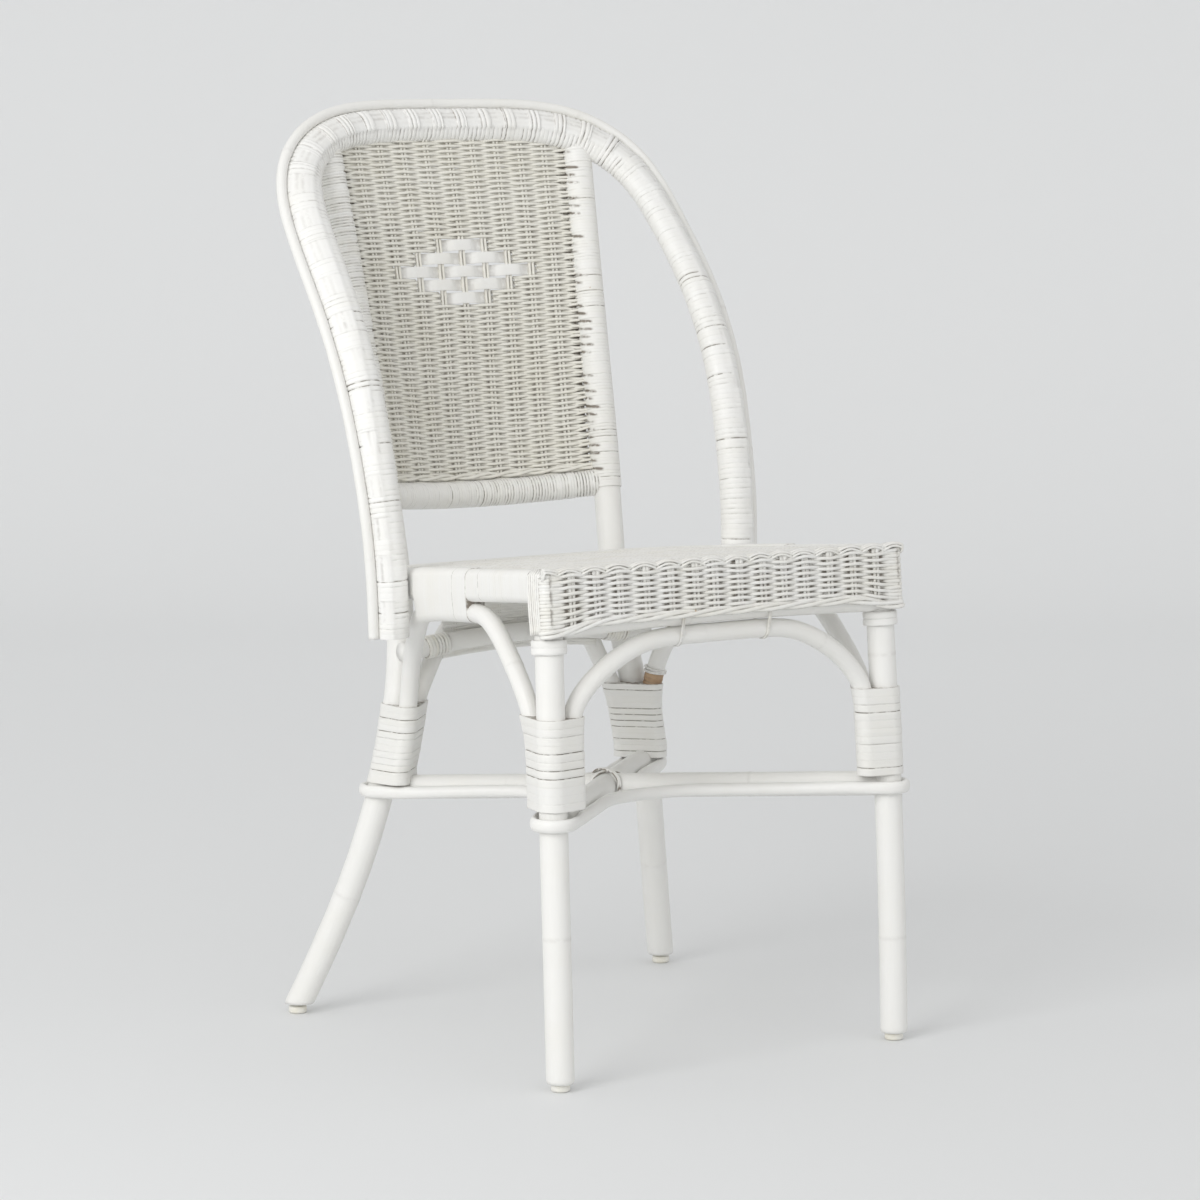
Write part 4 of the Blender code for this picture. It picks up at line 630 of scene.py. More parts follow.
def buildRods():
    # the ring rod is pared down where it goes round the legs; the hoop's rod lies against the oval at its turn
    line = ringRodLine()
    legs = np.array([mirrored(at(limb, 2, height), side) for limb, height in (
        (frontLeg, stretchers["frontHeight"]), (rearPost, stretchers["rearHeight"])) for side in (1, -1)])
    away = np.linalg.norm(line[None, :, :2] - legs[:, None, :2], axis=2).min(0)
    pared = stretchers["paredTo"] + (1 - stretchers["paredTo"]) * ease(
        (away - stretchers["paredFrom"]) / stretchers["paredOver"])
    rod = tubes(line, stretchers["rod"] / 2 * pared, stretchers["rod"] / 2, (0, 0, 1), 18, closed=True, seam=0.0)
    makePiece("stretcherRing", [rod], poleFinish)
    line = evenly(hoopLine(), 0.004)
    outward, backward = hoopFrames(line)
    halfLong, halfShort = hoopHalves(line)
    turn = hoop["turn"] - hoop["rodTurn"]
    reach = (np.hypot(halfLong * math.cos(turn), halfShort * math.sin(turn)) + hoop["rod"] / 2
             + chair["clearance"])
    away = math.cos(hoop["rodTurn"]) * outward + math.sin(hoop["rodTurn"]) * backward
    makePiece("hoopRod", [poleParts(line + reach[:, None] * away, hoop["rod"], (0, 1, 0), 7.7, 18)],
              poleFinish)


buildPoles()
buildRods()


# Cane wraps

turnProfile = np.array([0.0, 0.06, 0.16, 0.34, 0.5, 0.66, 0.84, 0.94])
# the sunk end rings of a wrap are darkened: dirt and painted shade where the wrap meets the pole
wrapEndDirtAndShade = 1.2


def turnPlaces(length, pitch):
    # stations along a wrap, close together at the seams between turns, and where in its turn each one is
    turns = max(int(round(length / pitch)), 1)
    places = np.append((np.arange(turns)[:, None] + turnProfile).ravel(), turns)
    return places * length / turns, np.floor(np.minimum(places, turns - 0.001)), np.mod(places, 1.0)


def turnRelief(turn, within, angle, depth, openness, seed, sharp=4.0, splits=0.06):
    # height of wound cane: full depth less, at a seam, the depth times how open that seam is there;
    # the seam's form is the distance from the turn's middle raised to a power; a few seams are split open;
    # the open seams are darkened with dirt and painted shade
    turn, within = turn[:, None], within[:, None]
    seamIndex = turn + (within > 0.5)
    low = 0.5 + 0.5 * waver(angle + 9 * hashed(seamIndex, seed), seed * 3, 0.9)
    split = (hashed(seamIndex, seed + 7) > 1 - splits) * (0.3 + 0.9 * low)
    gap = np.clip(openness * (0.25 + 1.5 * hashed(seamIndex, seed + 2) ** 2) * (0.4 + 1.2 * low) + split, 0, 1.3)
    form = np.abs(2 * within - 1) ** sharp
    return depth * (1 - gap * form), np.clip(gap, 0, 1) * form ** 2 + 1.6 * split * form ** 4


def sleeve(outline, places, height, sink, lay, seam, tone, flip=False):
    # a skin of rings pushed out from an outline by a height; both ends run in to a ring sunk under the surface,
    # which repeats the values beside it and is darkened with dirt and painted shade
    rings, inner = outline(places, height), outline(places, height * 0 - sink)
    rings = np.concatenate([inner[:1], rings, inner[-1:]])
    *lay, seam, tone = (np.pad(np.broadcast_to(values, height.shape), ((1, 1), (0, 0)), mode="edge")
                        for values in (*lay, seam, tone))
    seam[[0, -1]] = wrapEndDirtAndShade
    faces = gridFaces(1, *rings.shape[:2])
    return gridPart(rings, [face[:, ::-1] for face in faces] if flip else faces, lay, seam, tone)


def woundSleeve(outline, length, seed, pitch, depth, openness, sides, sharp=4.0, bulge=0.0, splits=0.06,
                flip=False, slits=None):
    # a wound sleeve on any outline: outline(places, height) gives the rings along it, pushed out by a height;
    # slits gives, for the ring points, how far each is sunk and painted with shade
    places, turn, within = turnPlaces(length, pitch)
    angle = circle(sides)[None]
    height, seam = turnRelief(turn, within, angle, depth, openness, seed, sharp, splits)
    height = height + bulge * ((hashed(turn, seed + 5) - 0.5) * (1 - np.abs(2 * within - 1) ** 2))[:, None]
    if slits:
        share = slits(outline(places, height * 0))
        # the slits are sunk and painted dark: painted shade in the gaps between the bundles
        height, seam = height - panelSlits["depth"] * share, seam + panelSlits["dirt"] * share
    return sleeve(outline, places, height, depth * 0.3, (angle * 0.02 + hashed(turn, seed)[:, None],
                  places[:, None], 0), seam, hashed(turn, seed + 1)[:, None], flip)


def roundOutline(line, radius, toward):
    # rings round a line: the radius plus the height, along the side and rise vectors
    reach = distances(line)

    def outline(places, height):
        # the line's point plus away times the cosine to the side and the sine up
        angle, away = circle(height.shape[1]), radius + height
        return sweep(readOff(places, reach, line)[None], (away * np.cos(angle))[None],
                     (away * np.sin(angle))[None], toward)[0]

    return outline, reach[-1]


def windRound(name, line, radius, toward, seed, winding, material, nodes=None,
              slits=None):
    # a piece of cane wound round a line
    outline, length = roundOutline(line, radius, toward)
    makePiece(name, [woundSleeve(outline, length, seed, **winding, slits=slits)], material, nodes)


hoopWrap = {"pitch": 0.0050, "armCycle": 0.040, "topCycle": 0.029, "depth": 0.0014, "band": 0.0015,
            "sides": 44, "sunk": 0.0006, "bandStart": math.radians(20), "bandEndArm": math.radians(66),
            "bandEndTop": math.radians(94), "strips": 2, "grooveAt": math.radians(13), "grooveWide": 0.13,
            "grooveFill": 0.0016, "topFrom": 0.80, "topOver": 0.06, "widerFrom": 0.50, "widerOver": 0.22,
            "uneven": 0.00018, "endSink": 0.0012, "layWide": 0.016}


def buildHoop():
    # the oval pole closely wound with cane; a band of flat strips runs along its outer front and the turns
    # pass under it and over it by groups
    line = evenly(hoopLine(), 0.0005)
    reach = distances(line)
    places, turn, within = turnPlaces(reach[-1], hoopWrap["pitch"])
    spots = readOff(places, reach, line)
    outward, backward = (unit(readOff(places, reach[::16], way)) for way in hoopFrames(line[::16]))
    halfLong, halfShort = hoopHalves(spots)
    angle = circle(hoopWrap["sides"])[None]
    # angle from straight outward, growing towards the front
    front = np.mod(-(angle + hoop["turn"]) + np.pi, fullTurn) - np.pi
    topness = ease((spots[:, 2] - hoopWrap["topFrom"]) / hoopWrap["topOver"])[:, None]
    wider = ease((spots[:, 2] - hoopWrap["widerFrom"]) / hoopWrap["widerOver"])[:, None]
    bandEnd = hoopWrap["bandEndArm"] + (hoopWrap["bandEndTop"] - hoopWrap["bandEndArm"]) * wider
    middle, half = (bandEnd + hoopWrap["bandStart"]) / 2, (bandEnd - hoopWrap["bandStart"]) / 2
    acrossBand = (front - middle) / half
    bandMask = ease((1.04 - np.abs(acrossBand)) / 0.12)
    cycle = hoopWrap["armCycle"] + (hoopWrap["topCycle"] - hoopWrap["armCycle"]) * topness[:, 0]
    phase = np.cumsum(np.gradient(places) / cycle)
    group = np.floor(phase)
    spare = 0.09 * (hashed(group, 3.0) - 0.5)
    over = ease((np.mod(phase, 1.0) - 0.02) / 0.035) * ease((0.5 + spare - np.mod(phase, 1.0)) / 0.035)
    over, group = over[:, None], group[:, None]
    stripNumber = (acrossBand + 1) * hoopWrap["strips"]
    stripSeam = (np.abs(np.mod(stripNumber + 0.001, 1.0) * 2 - 1) ** 5
                 * (0.45 + 0.55 * hashed(group + np.floor(stripNumber) * 17, 6.0)) * (0.40 + 0.35 * topness))
    turned, seam = turnRelief(turn, within, angle, hoopWrap["depth"], 0.28 + 0.58 * topness, 2.0, 3.4)
    bandTop = hoopWrap["depth"] * 0.75 + hoopWrap["band"] * (1 - 0.8 * stripSeam)
    overTop = turned * (1 + 0.5 * topness) + hoopWrap["band"] * (1.05 + 0.25 * topness)
    height = turned * (1 - bandMask) + bandMask * (bandTop * (1 - over) + overTop * over)
    alongBand = bandMask * (1 - over)
    edge = bandMask * (1 - bandMask) * 4 * (1 - over) + bandMask * over * (1 - over) * 4
    # dirt and painted shade in the turns' seams, between the strips and at the band's over and under edges
    crease = np.clip(seam * (1 - alongBand) + alongBand * stripSeam * 0.9
                     + (0.30 + 0.60 * topness) * edge * hashed(group, 8.0), 0, 1.4)
    # the groove beside the rod is filled by a low bell of paint and cane
    height = (height - hoopWrap["sunk"] + hoopWrap["uneven"] * waver(places, 4.0, 0.011)[:, None]
              + hoopWrap["grooveFill"] * bell(front - hoopWrap["grooveAt"], hoopWrap["grooveWide"]))
    cosine, sine = math.cos(hoop["turn"]), math.sin(hoop["turn"])
    longWay, shortWay = cosine * outward + sine * backward, cosine * backward - sine * outward

    def outline(_, push):
        # the line's point plus each half axis and the push, times the cosine one way and the sine the other
        return (spots[:, None] + (halfLong[:, None] + push)[..., None] * np.cos(angle)[..., None] * longWay[:, None]
                + (halfShort[:, None] + push)[..., None] * np.sin(angle)[..., None] * shortWay[:, None])

    lay = (angle * hoopWrap["layWide"] * (1 - alongBand) + places[:, None] * alongBand,
           places[:, None] * (1 - alongBand) + front * hoopWrap["layWide"] * alongBand, 0)
    tone = hashed(turn, 1.0)[:, None] * (1 - alongBand) + alongBand * hashed(np.floor(stripNumber), 4.0)
    part = sleeve(outline, places, height, hoopWrap["endSink"], lay, crease, tone, flip=True)
    makePiece("backHoop", [part], hoopPaintedLightFinish)


def tautRings(circles, height):
    # taut outline round a row of circles at each station, pushed out by a height: the farthest support in each
    # direction, and in that direction its radius plus the height
    angle = circle(height.shape[1])
    toward = np.stack([np.cos(angle), -np.sin(angle)], -1)
    centres, radii = np.stack([centre for centre, _ in circles]), np.array([radius for _, radius in circles])
    best = (centres @ toward.T + radii[:, None, None]).argmax(0)
    return centres[best, np.arange(len(height))[:, None]] + (radii[best] + height)[..., None] * toward


legWrap = {"depth": 0.0018, "openness": 0.26, "sides": 56, "sharp": 11.0, "bulge": 0.0005}
legWrapEnds = {"front": {"pitch": 0.0074, "splits": 0.12}, "rear": {"pitch": 0.0064, "splits": 0.30}}


def buildLegWraps():
    # each joint's wrap takes the outline round the leg and the two arch ends bound to it
    half, middle = arches["halfPoints"], arches["sidePoints"] // 2
    for sideName, side in bothSides:
        for end, leg, width, bound in (
                ("front", frontLeg, chair["legWidth"], (frontArch[:half], sideArch[:middle])),
                ("rear", rearPost, chair["postWidth"], (rearArch[:half], sideArch[:middle:-1]))):
            limbs = [leg] + [arch[:int(arch[:, 2].argmax()) + 1] for arch in bound]
            widths = (width, chair["archWidth"], chair["archWidth"])

            def outline(places, height):
                # level rings: each limb's circle where it stands at that height
                level = wraps[end + "Bottom"] + places
                circles = [(mirrored(at(limb, 2, level), side)[:, :2], wide / 2 + chair["clearance"] * 2)
                           for limb, wide in zip(limbs, widths)]
                flat = tautRings(circles, height)
                return np.concatenate([flat, np.broadcast_to(level[:, None, None], (*height.shape, 1))], -1)

            part = woundSleeve(outline, wraps[end + "Length"], 3.1 + side + len(end), **legWrap, **legWrapEnds[end])
            makePiece(f"{end}LegWrap_{sideName}", [part], legWrapFinish)


sideWrap = {"pitch": 0.0052, "depth": 0.0009, "openness": 0.05, "sides": 52, "sharp": 8.0}


def buildSideWraps():
    # the deep wrap takes the outline round the side bar and the arch crown under it
    edge, spare = frameBar["edge"], 0.0002
    for sideName, side in bothSides:
        def outline(places, height):
            # upright rings: four small circles for the bar's edges and one for the arch
            y = wraps["sideFront"] + places
            centre = np.stack([frameSideX(y), seatZ(y, frameBar["height"] / 2)], 1)
            circles = [(centre + [a * (frameBar["width"] / 2 - edge), b * (frameBar["height"] / 2 - edge)],
                        edge + spare) for a in (-1, 1) for b in (-1, 1)]
            circles.append((at(sideArch, 1, y)[:, [0, 2]], chair["archWidth"] / 2 + spare))
            flat = tautRings(circles, height)
            return np.stack([flat[..., 0] * side, np.broadcast_to(y[:, None], height.shape), flat[..., 1]], -1)

        part = woundSleeve(outline, wraps["sideLength"], 8.1 + side, **sideWrap, flip=side > 0)
        makePiece("sideWrap_" + sideName, [part], wrapFinish)


# the ribbons' edges carry dirt and painted shade, their parts under the stakes painted shade
diamond = {"height": 0.733, "pitch": 0.0130, "reach": (1, 2, 3, 2, 1), "stakePitch": 0.0268, "edge": 0.00545,
           "tall": 0.0118, "thick": 0.0010, "swing": 0.0021, "rowsEach": 5, "edgeDirtAndShade": 0.4, "underShade": 0.45}
# slits at the stiles: how deep they sink and how strongly shade is painted in them
panelSlits = {"half": 0.0012, "from": 0.92, "uneven": 0.50, "over": 0.25, "depth": 0.0010, "dirt": 2.4,
              "weakest": 0.35, "missing": 0.15}
# the left stile is painted nearly over, the right one shows its round turns
stile = {"below": 0.006, "top": 0.858, "finish": {"left": wrapFinish, "right": weaveFinish}, "winding": {
    "left": {"pitch": 0.0032, "depth": 0.0015, "openness": 0.24, "sides": 48, "sharp": 4.0},
    "right": {"pitch": 0.0029, "depth": 0.0015, "openness": 0.85, "sides": 48, "sharp": 2.2}}}
collar = {"inset": 0.0005, "proud": 0.0004,
          "winding": {"pitch": 0.0070, "depth": 0.0030, "openness": 0.42, "sides": 40, "sharp": 5.0}}


def stileSlits(points):
    # slits between bundles of three rows where they turn round the stile's inner side, sunk and painted with
    # shade: bells in height about each bundle's edge, fading from the inner side towards the front
    bundleTall = diamond["pitch"] * 3 / diamond["rowsEach"]
    bundle = (points[..., 2] - diamond["height"]) / bundleTall - 5 / 6
    nearest = np.round(bundle)
    high = bell((bundle - nearest) * bundleTall, panelSlits["half"])
    middle = points.mean(axis=1, keepdims=True)
    inner = -(points[..., 0] - middle[..., 0]) * np.sign(middle[..., 0]) / (chair["postWidth"] / 2)
    reach = ease((inner - panelSlits["from"] + panelSlits["uneven"] * hashed(nearest, 5.0)) / panelSlits["over"])
    strong = panelSlits["weakest"] + (1 - panelSlits["weakest"]) * hashed(nearest, 3.0)
    return high * strong * reach * (hashed(nearest, 8.0) > panelSlits["missing"])


def buildRoundWraps():
    # stiles and the collars under the seat's corners
    heights = np.linspace(chair["backRail"] - stile["below"], stile["top"], 120)
    for sideName, side in bothSides:
        windRound("stileWrap_" + sideName, mirrored(at(rearPost, 2, heights), side), chair["postWidth"] / 2,
                  (0, -1, 0), 5.2 + side, stile["winding"][sideName], stile["finish"][sideName], slits=stileSlits)
        low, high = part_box("leg_collar_" + sideName)
        levels = np.linspace(low[2] + collar["inset"], high[2] - collar["inset"], 8)
        windRound("legCollar_" + sideName, mirrored(at(frontLeg, 2, levels), side),
                  chair["legWidth"] / 2 + collar["proud"], (0, -1, 0), 6.6 + side, collar["winding"], wrapFinish)


buildHoop()
buildLegWraps()
buildSideWraps()
buildRoundWraps()


# Seat frame, glides and small cane bindings

def boxOutline(line, halfWide, halfTall, radius, up):
    # rings of a rounded box along a line: corner centres by the signs of the cosine and sine, plus the radius
    reach = distances(line)
    tangent = unit(np.gradient(line, axis=0))
    wide = unit(np.cross(tangent, up))
    tall = np.cross(wide, tangent)

    def outline(places, height):
        # the nearest corner's centre plus the radius and height in the ring's direction
        spots, across, rise = (readOff(places, reach, values)[:, None] for values in (line, wide, tall))
        angle = (np.arange(height.shape[1]) + 0.5) / height.shape[1] * fullTurn
        x = np.sign(np.cos(angle)) * (halfWide - radius) + (radius + height) * np.cos(angle)
        z = np.sign(np.sin(angle)) * (halfTall - radius) + (radius + height) * np.sin(angle)
        return spots + x[..., None] * across + z[..., None] * rise

    return outline, reach[-1]


frameWrap = {"pitch": 0.0038, "depth": 0.0004, "openness": 0.12, "sides": 26, "sharp": 5.0}


def buildSeatFrame():
    # a rounded bar carried round the U of the seat, its middle half a height below the seat's plane
    line = evenly(bothHalves(frameHalfLine()), 0.004)
    line[:, 2] = seatZ(line[:, 1], frameBar["height"] / 2)
    up = np.array([0, math.sin(chair["seatSlope"]), math.cos(chair["seatSlope"])])
    outline, length = boxOutline(line, frameBar["width"] / 2, frameBar["height"] / 2, frameBar["edge"], up)
    part = woundSleeve(lambda places, height: outline(places, height - chair["clearance"]), length, 4.4, **frameWrap)
    makePiece("seatFrame", [part], wrapFinish)


archTie = {"bareLength": 0.012, "bareFrom": 0.002, "proud": 0.0001, "ringHeight": 0.0125, "strand": 0.0030,
           "tall": 0.45, "tilt": (0.3, 1.0, 0.25), "sway": 0.0012, "apart": 0.96}
bareWrap = {"pitch": 0.0042, "depth": 0.0007, "openness": 0.9, "sides": 32, "sharp": 2.4}


def buildArchTie():
    # bare cane round the left side arch just above its rear wrap, under two white rings of cane: circles whose
    # height sways once round
    rear = sideArch[:arches["sidePoints"] // 2:-1]
    rear = rear[:int(rear[:, 2].argmax())]
    top = wraps["rearBottom"] + wraps["rearLength"]
    line = at(rear, 2, top + np.linspace(-archTie["bareFrom"], archTie["bareLength"], 12))
    windRound("archTieBare", line, chair["archWidth"] / 2 + archTie["proud"], (1, 0, 0), 5.9, bareWrap,
              bareFinish, [])
    spot = at(rear, 2, top + archTie["ringHeight"])
    way = unit(line[-1] - line[0])
    across = unit(np.cross(way, archTie["tilt"]))
    over = np.cross(way, across)
    angle = circle(60)
    tall = archTie["strand"] * archTie["tall"]
    radius = chair["archWidth"] / 2 + tall
    for turn in range(2):
        along = turn * archTie["strand"] * archTie["apart"] + archTie["sway"] * np.sin(angle + turn)
        loop = (spot + way * along[:, None]
                + radius * (np.cos(angle)[:, None] * across + np.sin(angle)[:, None] * over))
        ring = tubes(loop, archTie["strand"] / 2, tall, way, 10, closed=True, seam=0.5)
        makePiece(f"archTieRing_{turn + 1}", [ring], wrapFinish, [])


glideProfile = np.array([(0.0062, 0.0), (0.0078, 0.0004), (0.0089, 0.0014), (0.0090, 0.0024),
                         (0.0090, 0.0058), (0.0086, 0.0068), (0.0080, 0.0070)])


def buildGlides():
    # a turned plug: radius by height, eased at both edges
    angle, radius, height = circle(36), glideProfile[:, 0, None], glideProfile[:, 1, None]
    for end in ("front", "rear"):
        for sideName, _ in bothSides:
            low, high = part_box(f"{end}_glide_{sideName}")
            middle = (np.array(low) + np.array(high)) / 2 - [0, chair["middleShift"], 0]
            ring = np.stack([middle[0] + radius * np.cos(angle), middle[1] - radius * np.sin(angle),
                             low[2] + height + 0 * angle], -1)
            part = gridPart(ring, gridFaces(1, *ring.shape[:2]), np.moveaxis(ring, -1, 0), 0, 0.6)
            makePiece(f"{end}Glide_{sideName}", [part], glideFinish)


def loopRound(circles, growth, count=48):
    # closed taut loop round circles in an upright plane: farthest support in each direction, evenly spread
    angle = circle(count * 8)
    toward = np.stack([np.cos(angle), np.sin(angle)], 1)
    centres, radii = np.array([c[:2] for c in circles]), np.array([c[2] for c in circles])
    best = (centres @ toward.T + radii[:, None]).argmax(0)
    loop = centres[best] + (radii[best] + growth)[:, None] * toward
    loop = np.concatenate([loop, loop[:1]])
    reach = distances(loop)
    return readOff(np.arange(count) / count * reach[-1], reach, loop)


frontCane = {"fromMiddle": 0.050, "wide": 0.0006, "tall": 0.0017, "proud": 0.0009, "sway": 0.0006}
rearLashing = {"inset": 0.0006, "proud": 0.0004,
               "winding": {"pitch": 0.0037, "depth": 0.0018, "openness": 0.9, "sides": 32, "sharp": 2.4}}


def buildBindings():
    # thin canes looped round the front rail and arch, and turns of cane on each end of the rear rail
    for sideName, side in bothSides:
        x = side * frontCane["fromMiddle"]
        rail, arch = at(frontRail, 0, x), at(frontArch[::-1], 0, x)
        loop = loopRound([(rail[1], rail[2], rails["front"] / 2), (arch[1], arch[2], chair["archWidth"] / 2)],
                         frontCane["proud"])
        path = np.column_stack([x + frontCane["sway"] * np.sin(circle(len(loop))), loop])
        band = tubes(path, frontCane["wide"], frontCane["tall"], (1, 0, 0), 10, closed=True, flat=0.55, seam=0.5)
        makePiece("frontCane_" + sideName, [band], caneFinish)
        low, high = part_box("rear_lashing_" + sideName)
        spots = np.linspace(low[0] + rearLashing["inset"], high[0] - rearLashing["inset"], 24)
        windRound("rearLashing_" + sideName, at(rearRail, 0, spots), rails["rear"] / 2 + rearLashing["proud"],
                  (0, 0, 1), 7.1 + side, rearLashing["winding"], caneFinish)


# the lashing's dark amount is dirt and painted shade between its strands
lashing = {"strand": 0.0029, "proud": 0.0002, "slack": 0.0008, "layer": 0.8, "wide": 0.46, "tall": 0.40,
           "spread": 0.70, "twist": 0.50, "sway": 0.0006, "squareAcross": 0.86, "squareUp": 0.8, "dirt": 2.2}


def buildLashings():
    # four strands a layer looped over the crossing as squared ovals; they draw together and cross as they go round
    half, strand, angle = stretchers["width"] / 2, lashing["strand"], circle(72)
    for layer, (name, turn) in enumerate((("Lower", 0), ("Upper", math.pi / 2))):
        lift = lashing["proud"] + strand * (0.5 + lashing["layer"] * layer)
        across = ((half * math.sqrt(2) + lift + lashing["slack"])
                  * signedPower(np.cos(angle), lashing["squareAcross"]))
        up = (half + lift) * signedPower(np.sin(angle), lashing["squareUp"])
        way, square = (np.array([math.cos(turn + add), math.sin(turn + add), 0]) for add in (0, math.pi / 2))
        loops = []
        for number in (-1.5, -0.5, 0.5, 1.5):
            aside = (number * strand * (lashing["spread"] + lashing["twist"] * np.cos(angle + 0.6))
                     + lashing["sway"] * np.sin(angle * 3 + number * 2))
            loops.append(crossing + across[:, None] * way + aside[:, None] * square
                         + up[:, None] * np.array([0, 0, 1.0]))
        # dark between the strands: dirt and painted shade
        part = tubes(np.array(loops), strand * lashing["wide"], strand * lashing["tall"], (0, 0.001, 1), 12,
                     closed=True, seed=layer + 2.0, seam=lashing["dirt"])
        makePiece("centreLashing" + name, [part], wrapFinish)


buildSeatFrame()
buildArchTie()
buildGlides()
buildBindings()
buildLashings()


# Woven back

# behind is the strength of the painted shade on the rows where they pass behind the stakes
backWeave = {"firstRow": -79, "lastRow": 50, "diamondRows": 12, "besidePost": 0.004, "stakeShare": 0.1862,
             "swing": 0.0038, "tall": 0.00172, "thick": 0.00115, "squeeze": 0.0008, "stakes": 4,
             "stakeApart": 0.00195, "stake": (0.0015, 0.0017), "foot": 0.002, "top": 0.868, "wander": 0.00035,
             "drift": 0.0009, "behind": 1.1, "longOver": 0.15}
# a strip behind the rows' ends, its front painted with shade
backStrip = {"fromPost": 0.0185, "back": 0.0026, "size": (0.0062, 0.0008), "sides": 10, "dirt": 2.2}
backBraid = {"height": 0.5322, "level": 0.533, "fromPost": 0.010, "rise": 0.0017, "forward": 0.0036,
             "swing": 0.0010, "size": (0.0018, 0.0016), "turnFrom": 0.4}


def backRuns():
    # each row's number, height, start and stop; rows beside the diamond stop at its edge
    runs = []
    for row in range(backWeave["firstRow"], backWeave["lastRow"] + 1):
        height = diamond["height"] + row * diamond["pitch"] / diamond["rowsEach"]
        end = at(rearPost, 2, height)[0] - backWeave["besidePost"]
        if abs(row) <= backWeave["diamondRows"]:
            stakes = diamond["reach"][(row + backWeave["diamondRows"]) // diamond["rowsEach"]]
            inner = stakes * diamond["stakePitch"] + diamond["edge"] - chair["clearance"] * 2
            runs += [(row, height, -end, -inner), (row, height, inner, end)]
        else:
            runs.append((row, height, -end, end))
    return np.array(runs)


def backRows(runs, count, seed):
    # rows over and under pairs of stakes: a wave across the panel that turns round with each row's number; at the
    # sides they close up in bundles of three
    row, height, start, stop = runs.T[:, :, None]
    across = start + (stop - start) * np.linspace(0, 1, count)
    post = at(rearPost, 2, np.broadcast_to(height, across.shape))[..., 0]
    share = np.abs(across / post)
    squeeze = (backWeave["squeeze"] * (np.mod(row, 3) - 1) * (0.4 + 1.4 * hashed(row // 3, 4.0))
               * ease((share - 0.80) / 0.07))
    drift = backWeave["wander"] * waver(across + hashed(row, 1.0), 3.0, 0.012) + backWeave["drift"] * waver(
        across * 1.3 + height * 0.4, 1.0, 0.06) * ease((height - 0.53) / 0.03) * ease((0.86 - height) / 0.03)
    calm = 1 - 0.9 * (np.abs(height - diamond["height"]) < 0.040)
    swing = plait(across / (backWeave["stakeShare"] * post) + row, 0.6) * (1 - 0.5 * ease((share - 0.9) / 0.1))
    paths = panelPoint(across, height - squeeze + drift * calm, backWeave["swing"] / 2 * swing)
    tall = backWeave["tall"] * (1 + 0.10 * (hashed(row, 5.0) - 0.5)) * (1 - 0.16 * ease((share - 0.84) / 0.1))
    # painted shade on the rows where they pass behind the stakes, fading towards the top
    behind = backWeave["behind"] * ease((-0.55 - swing) / 0.4) * (1 - 0.85 * ease((height - 0.76) / 0.06))
    return tubes(paths, tall, backWeave["thick"], panelUp, 6, seed=seed, seam=0.7, shade=behind)


def buildBackPanel():
    # the rows, their stakes, a strip behind the rows' ends with painted shade on its front, and a braid of
    # two strands along the rail
    runs = backRuns()
    long = runs[:, 3] - runs[:, 2] > backWeave["longOver"]
    parts = [backRows(runs[long], 100, 3.0), backRows(runs[~long], 42, 2.0)]
    levels = np.linspace(chair["backRail"] + backWeave["foot"], backWeave["top"], 64)
    post = at(rearPost, 2, levels)[:, 0]
    stakes = [panelPoint(number * backWeave["stakeShare"] * post + aside * backWeave["stakeApart"], levels, 0)
              for number in range(-backWeave["stakes"], backWeave["stakes"] + 1) for aside in (-1, 1)]
    parts.append(tubes(np.array(stakes), *backWeave["stake"], panelUp, 8, seed=9.0, seam=0.5))
    strips = [panelPoint(side * (post - backStrip["fromPost"]), levels, -backStrip["back"]) for side in (-1, 1)]
    strip = tubes(np.array(strips), *backStrip["size"], panelUp, backStrip["sides"], seed=6.0, seam=0.0)
    # painted shade on the strip's front face, seen through the gaps between the rows' ends
    face = backStrip["dirt"] * ease(np.sin(circle(backStrip["sides"])) * 2 + 0.5)
    strip["seam"] = np.tile(face, len(strip["points"]) // backStrip["sides"])
    parts.append(strip)
    across = np.linspace(-1, 1, 150) * (at(rearPost, 2, backBraid["level"])[0] - backBraid["fromPost"])
    twist = fullTurn * across / (2 * diamond["stakePitch"])
    strands = [panelPoint(across, backBraid["height"] + backBraid["rise"] * np.sin(twist + start),
                          backBraid["forward"] + backBraid["swing"] * np.cos(twist + start))
               for start in (backBraid["turnFrom"], backBraid["turnFrom"] + np.pi)]
    parts.append(tubes(np.array(strands), *backBraid["size"], panelUp, 8, seed=4.0, seam=0.9))
    makePiece("backPanel", parts, panelFinish)


def buildRibbons():
    # flat ribbons over and under the stakes; the section is a flattened oval, fuller in front
    angle = circle(20)
    wide = diamond["tall"] / 2 * signedPower(np.cos(angle), 0.7)
    tall = diamond["thick"] / 2 * (np.sin(angle) + 0.5 * np.sin(angle) ** 2)
    for index, reach in enumerate(diamond["reach"]):
        half = reach * diamond["stakePitch"] + diamond["edge"]
        across = np.linspace(-half, half, 26 * reach + 20)
        swing = (1 - 2 * (index % 2)) * plait(across / diamond["stakePitch"])
        path = panelPoint(across, diamond["height"] + (2 - index) * diamond["pitch"], diamond["swing"] * swing)
        points = sweep(path[None], wide, tall, panelUp)[0]
        # painted shade where the ribbon passes under the stakes, and dirt and painted shade along its edges
        under = diamond["underShade"] * ease((-swing - 0.2) / 0.8)[:, None]
        part = gridPart(points, gridFaces(1, *points.shape[:2]), (across[:, None], wide, tall * 0.4),
                        np.maximum(np.abs(np.cos(angle)) ** 30 * diamond["edgeDirtAndShade"], under), 0.3 * (index % 2))
        makePiece(f"diamondRibbon_{index + 1}", [part], ribbonFinish)


backRailWrap = {"radius": 0.0120, "pitch": 0.0033, "depth": 0.0015, "openness": 0.9, "sides": 30, "uneven": 0.0005,
                "sink": 0.001}


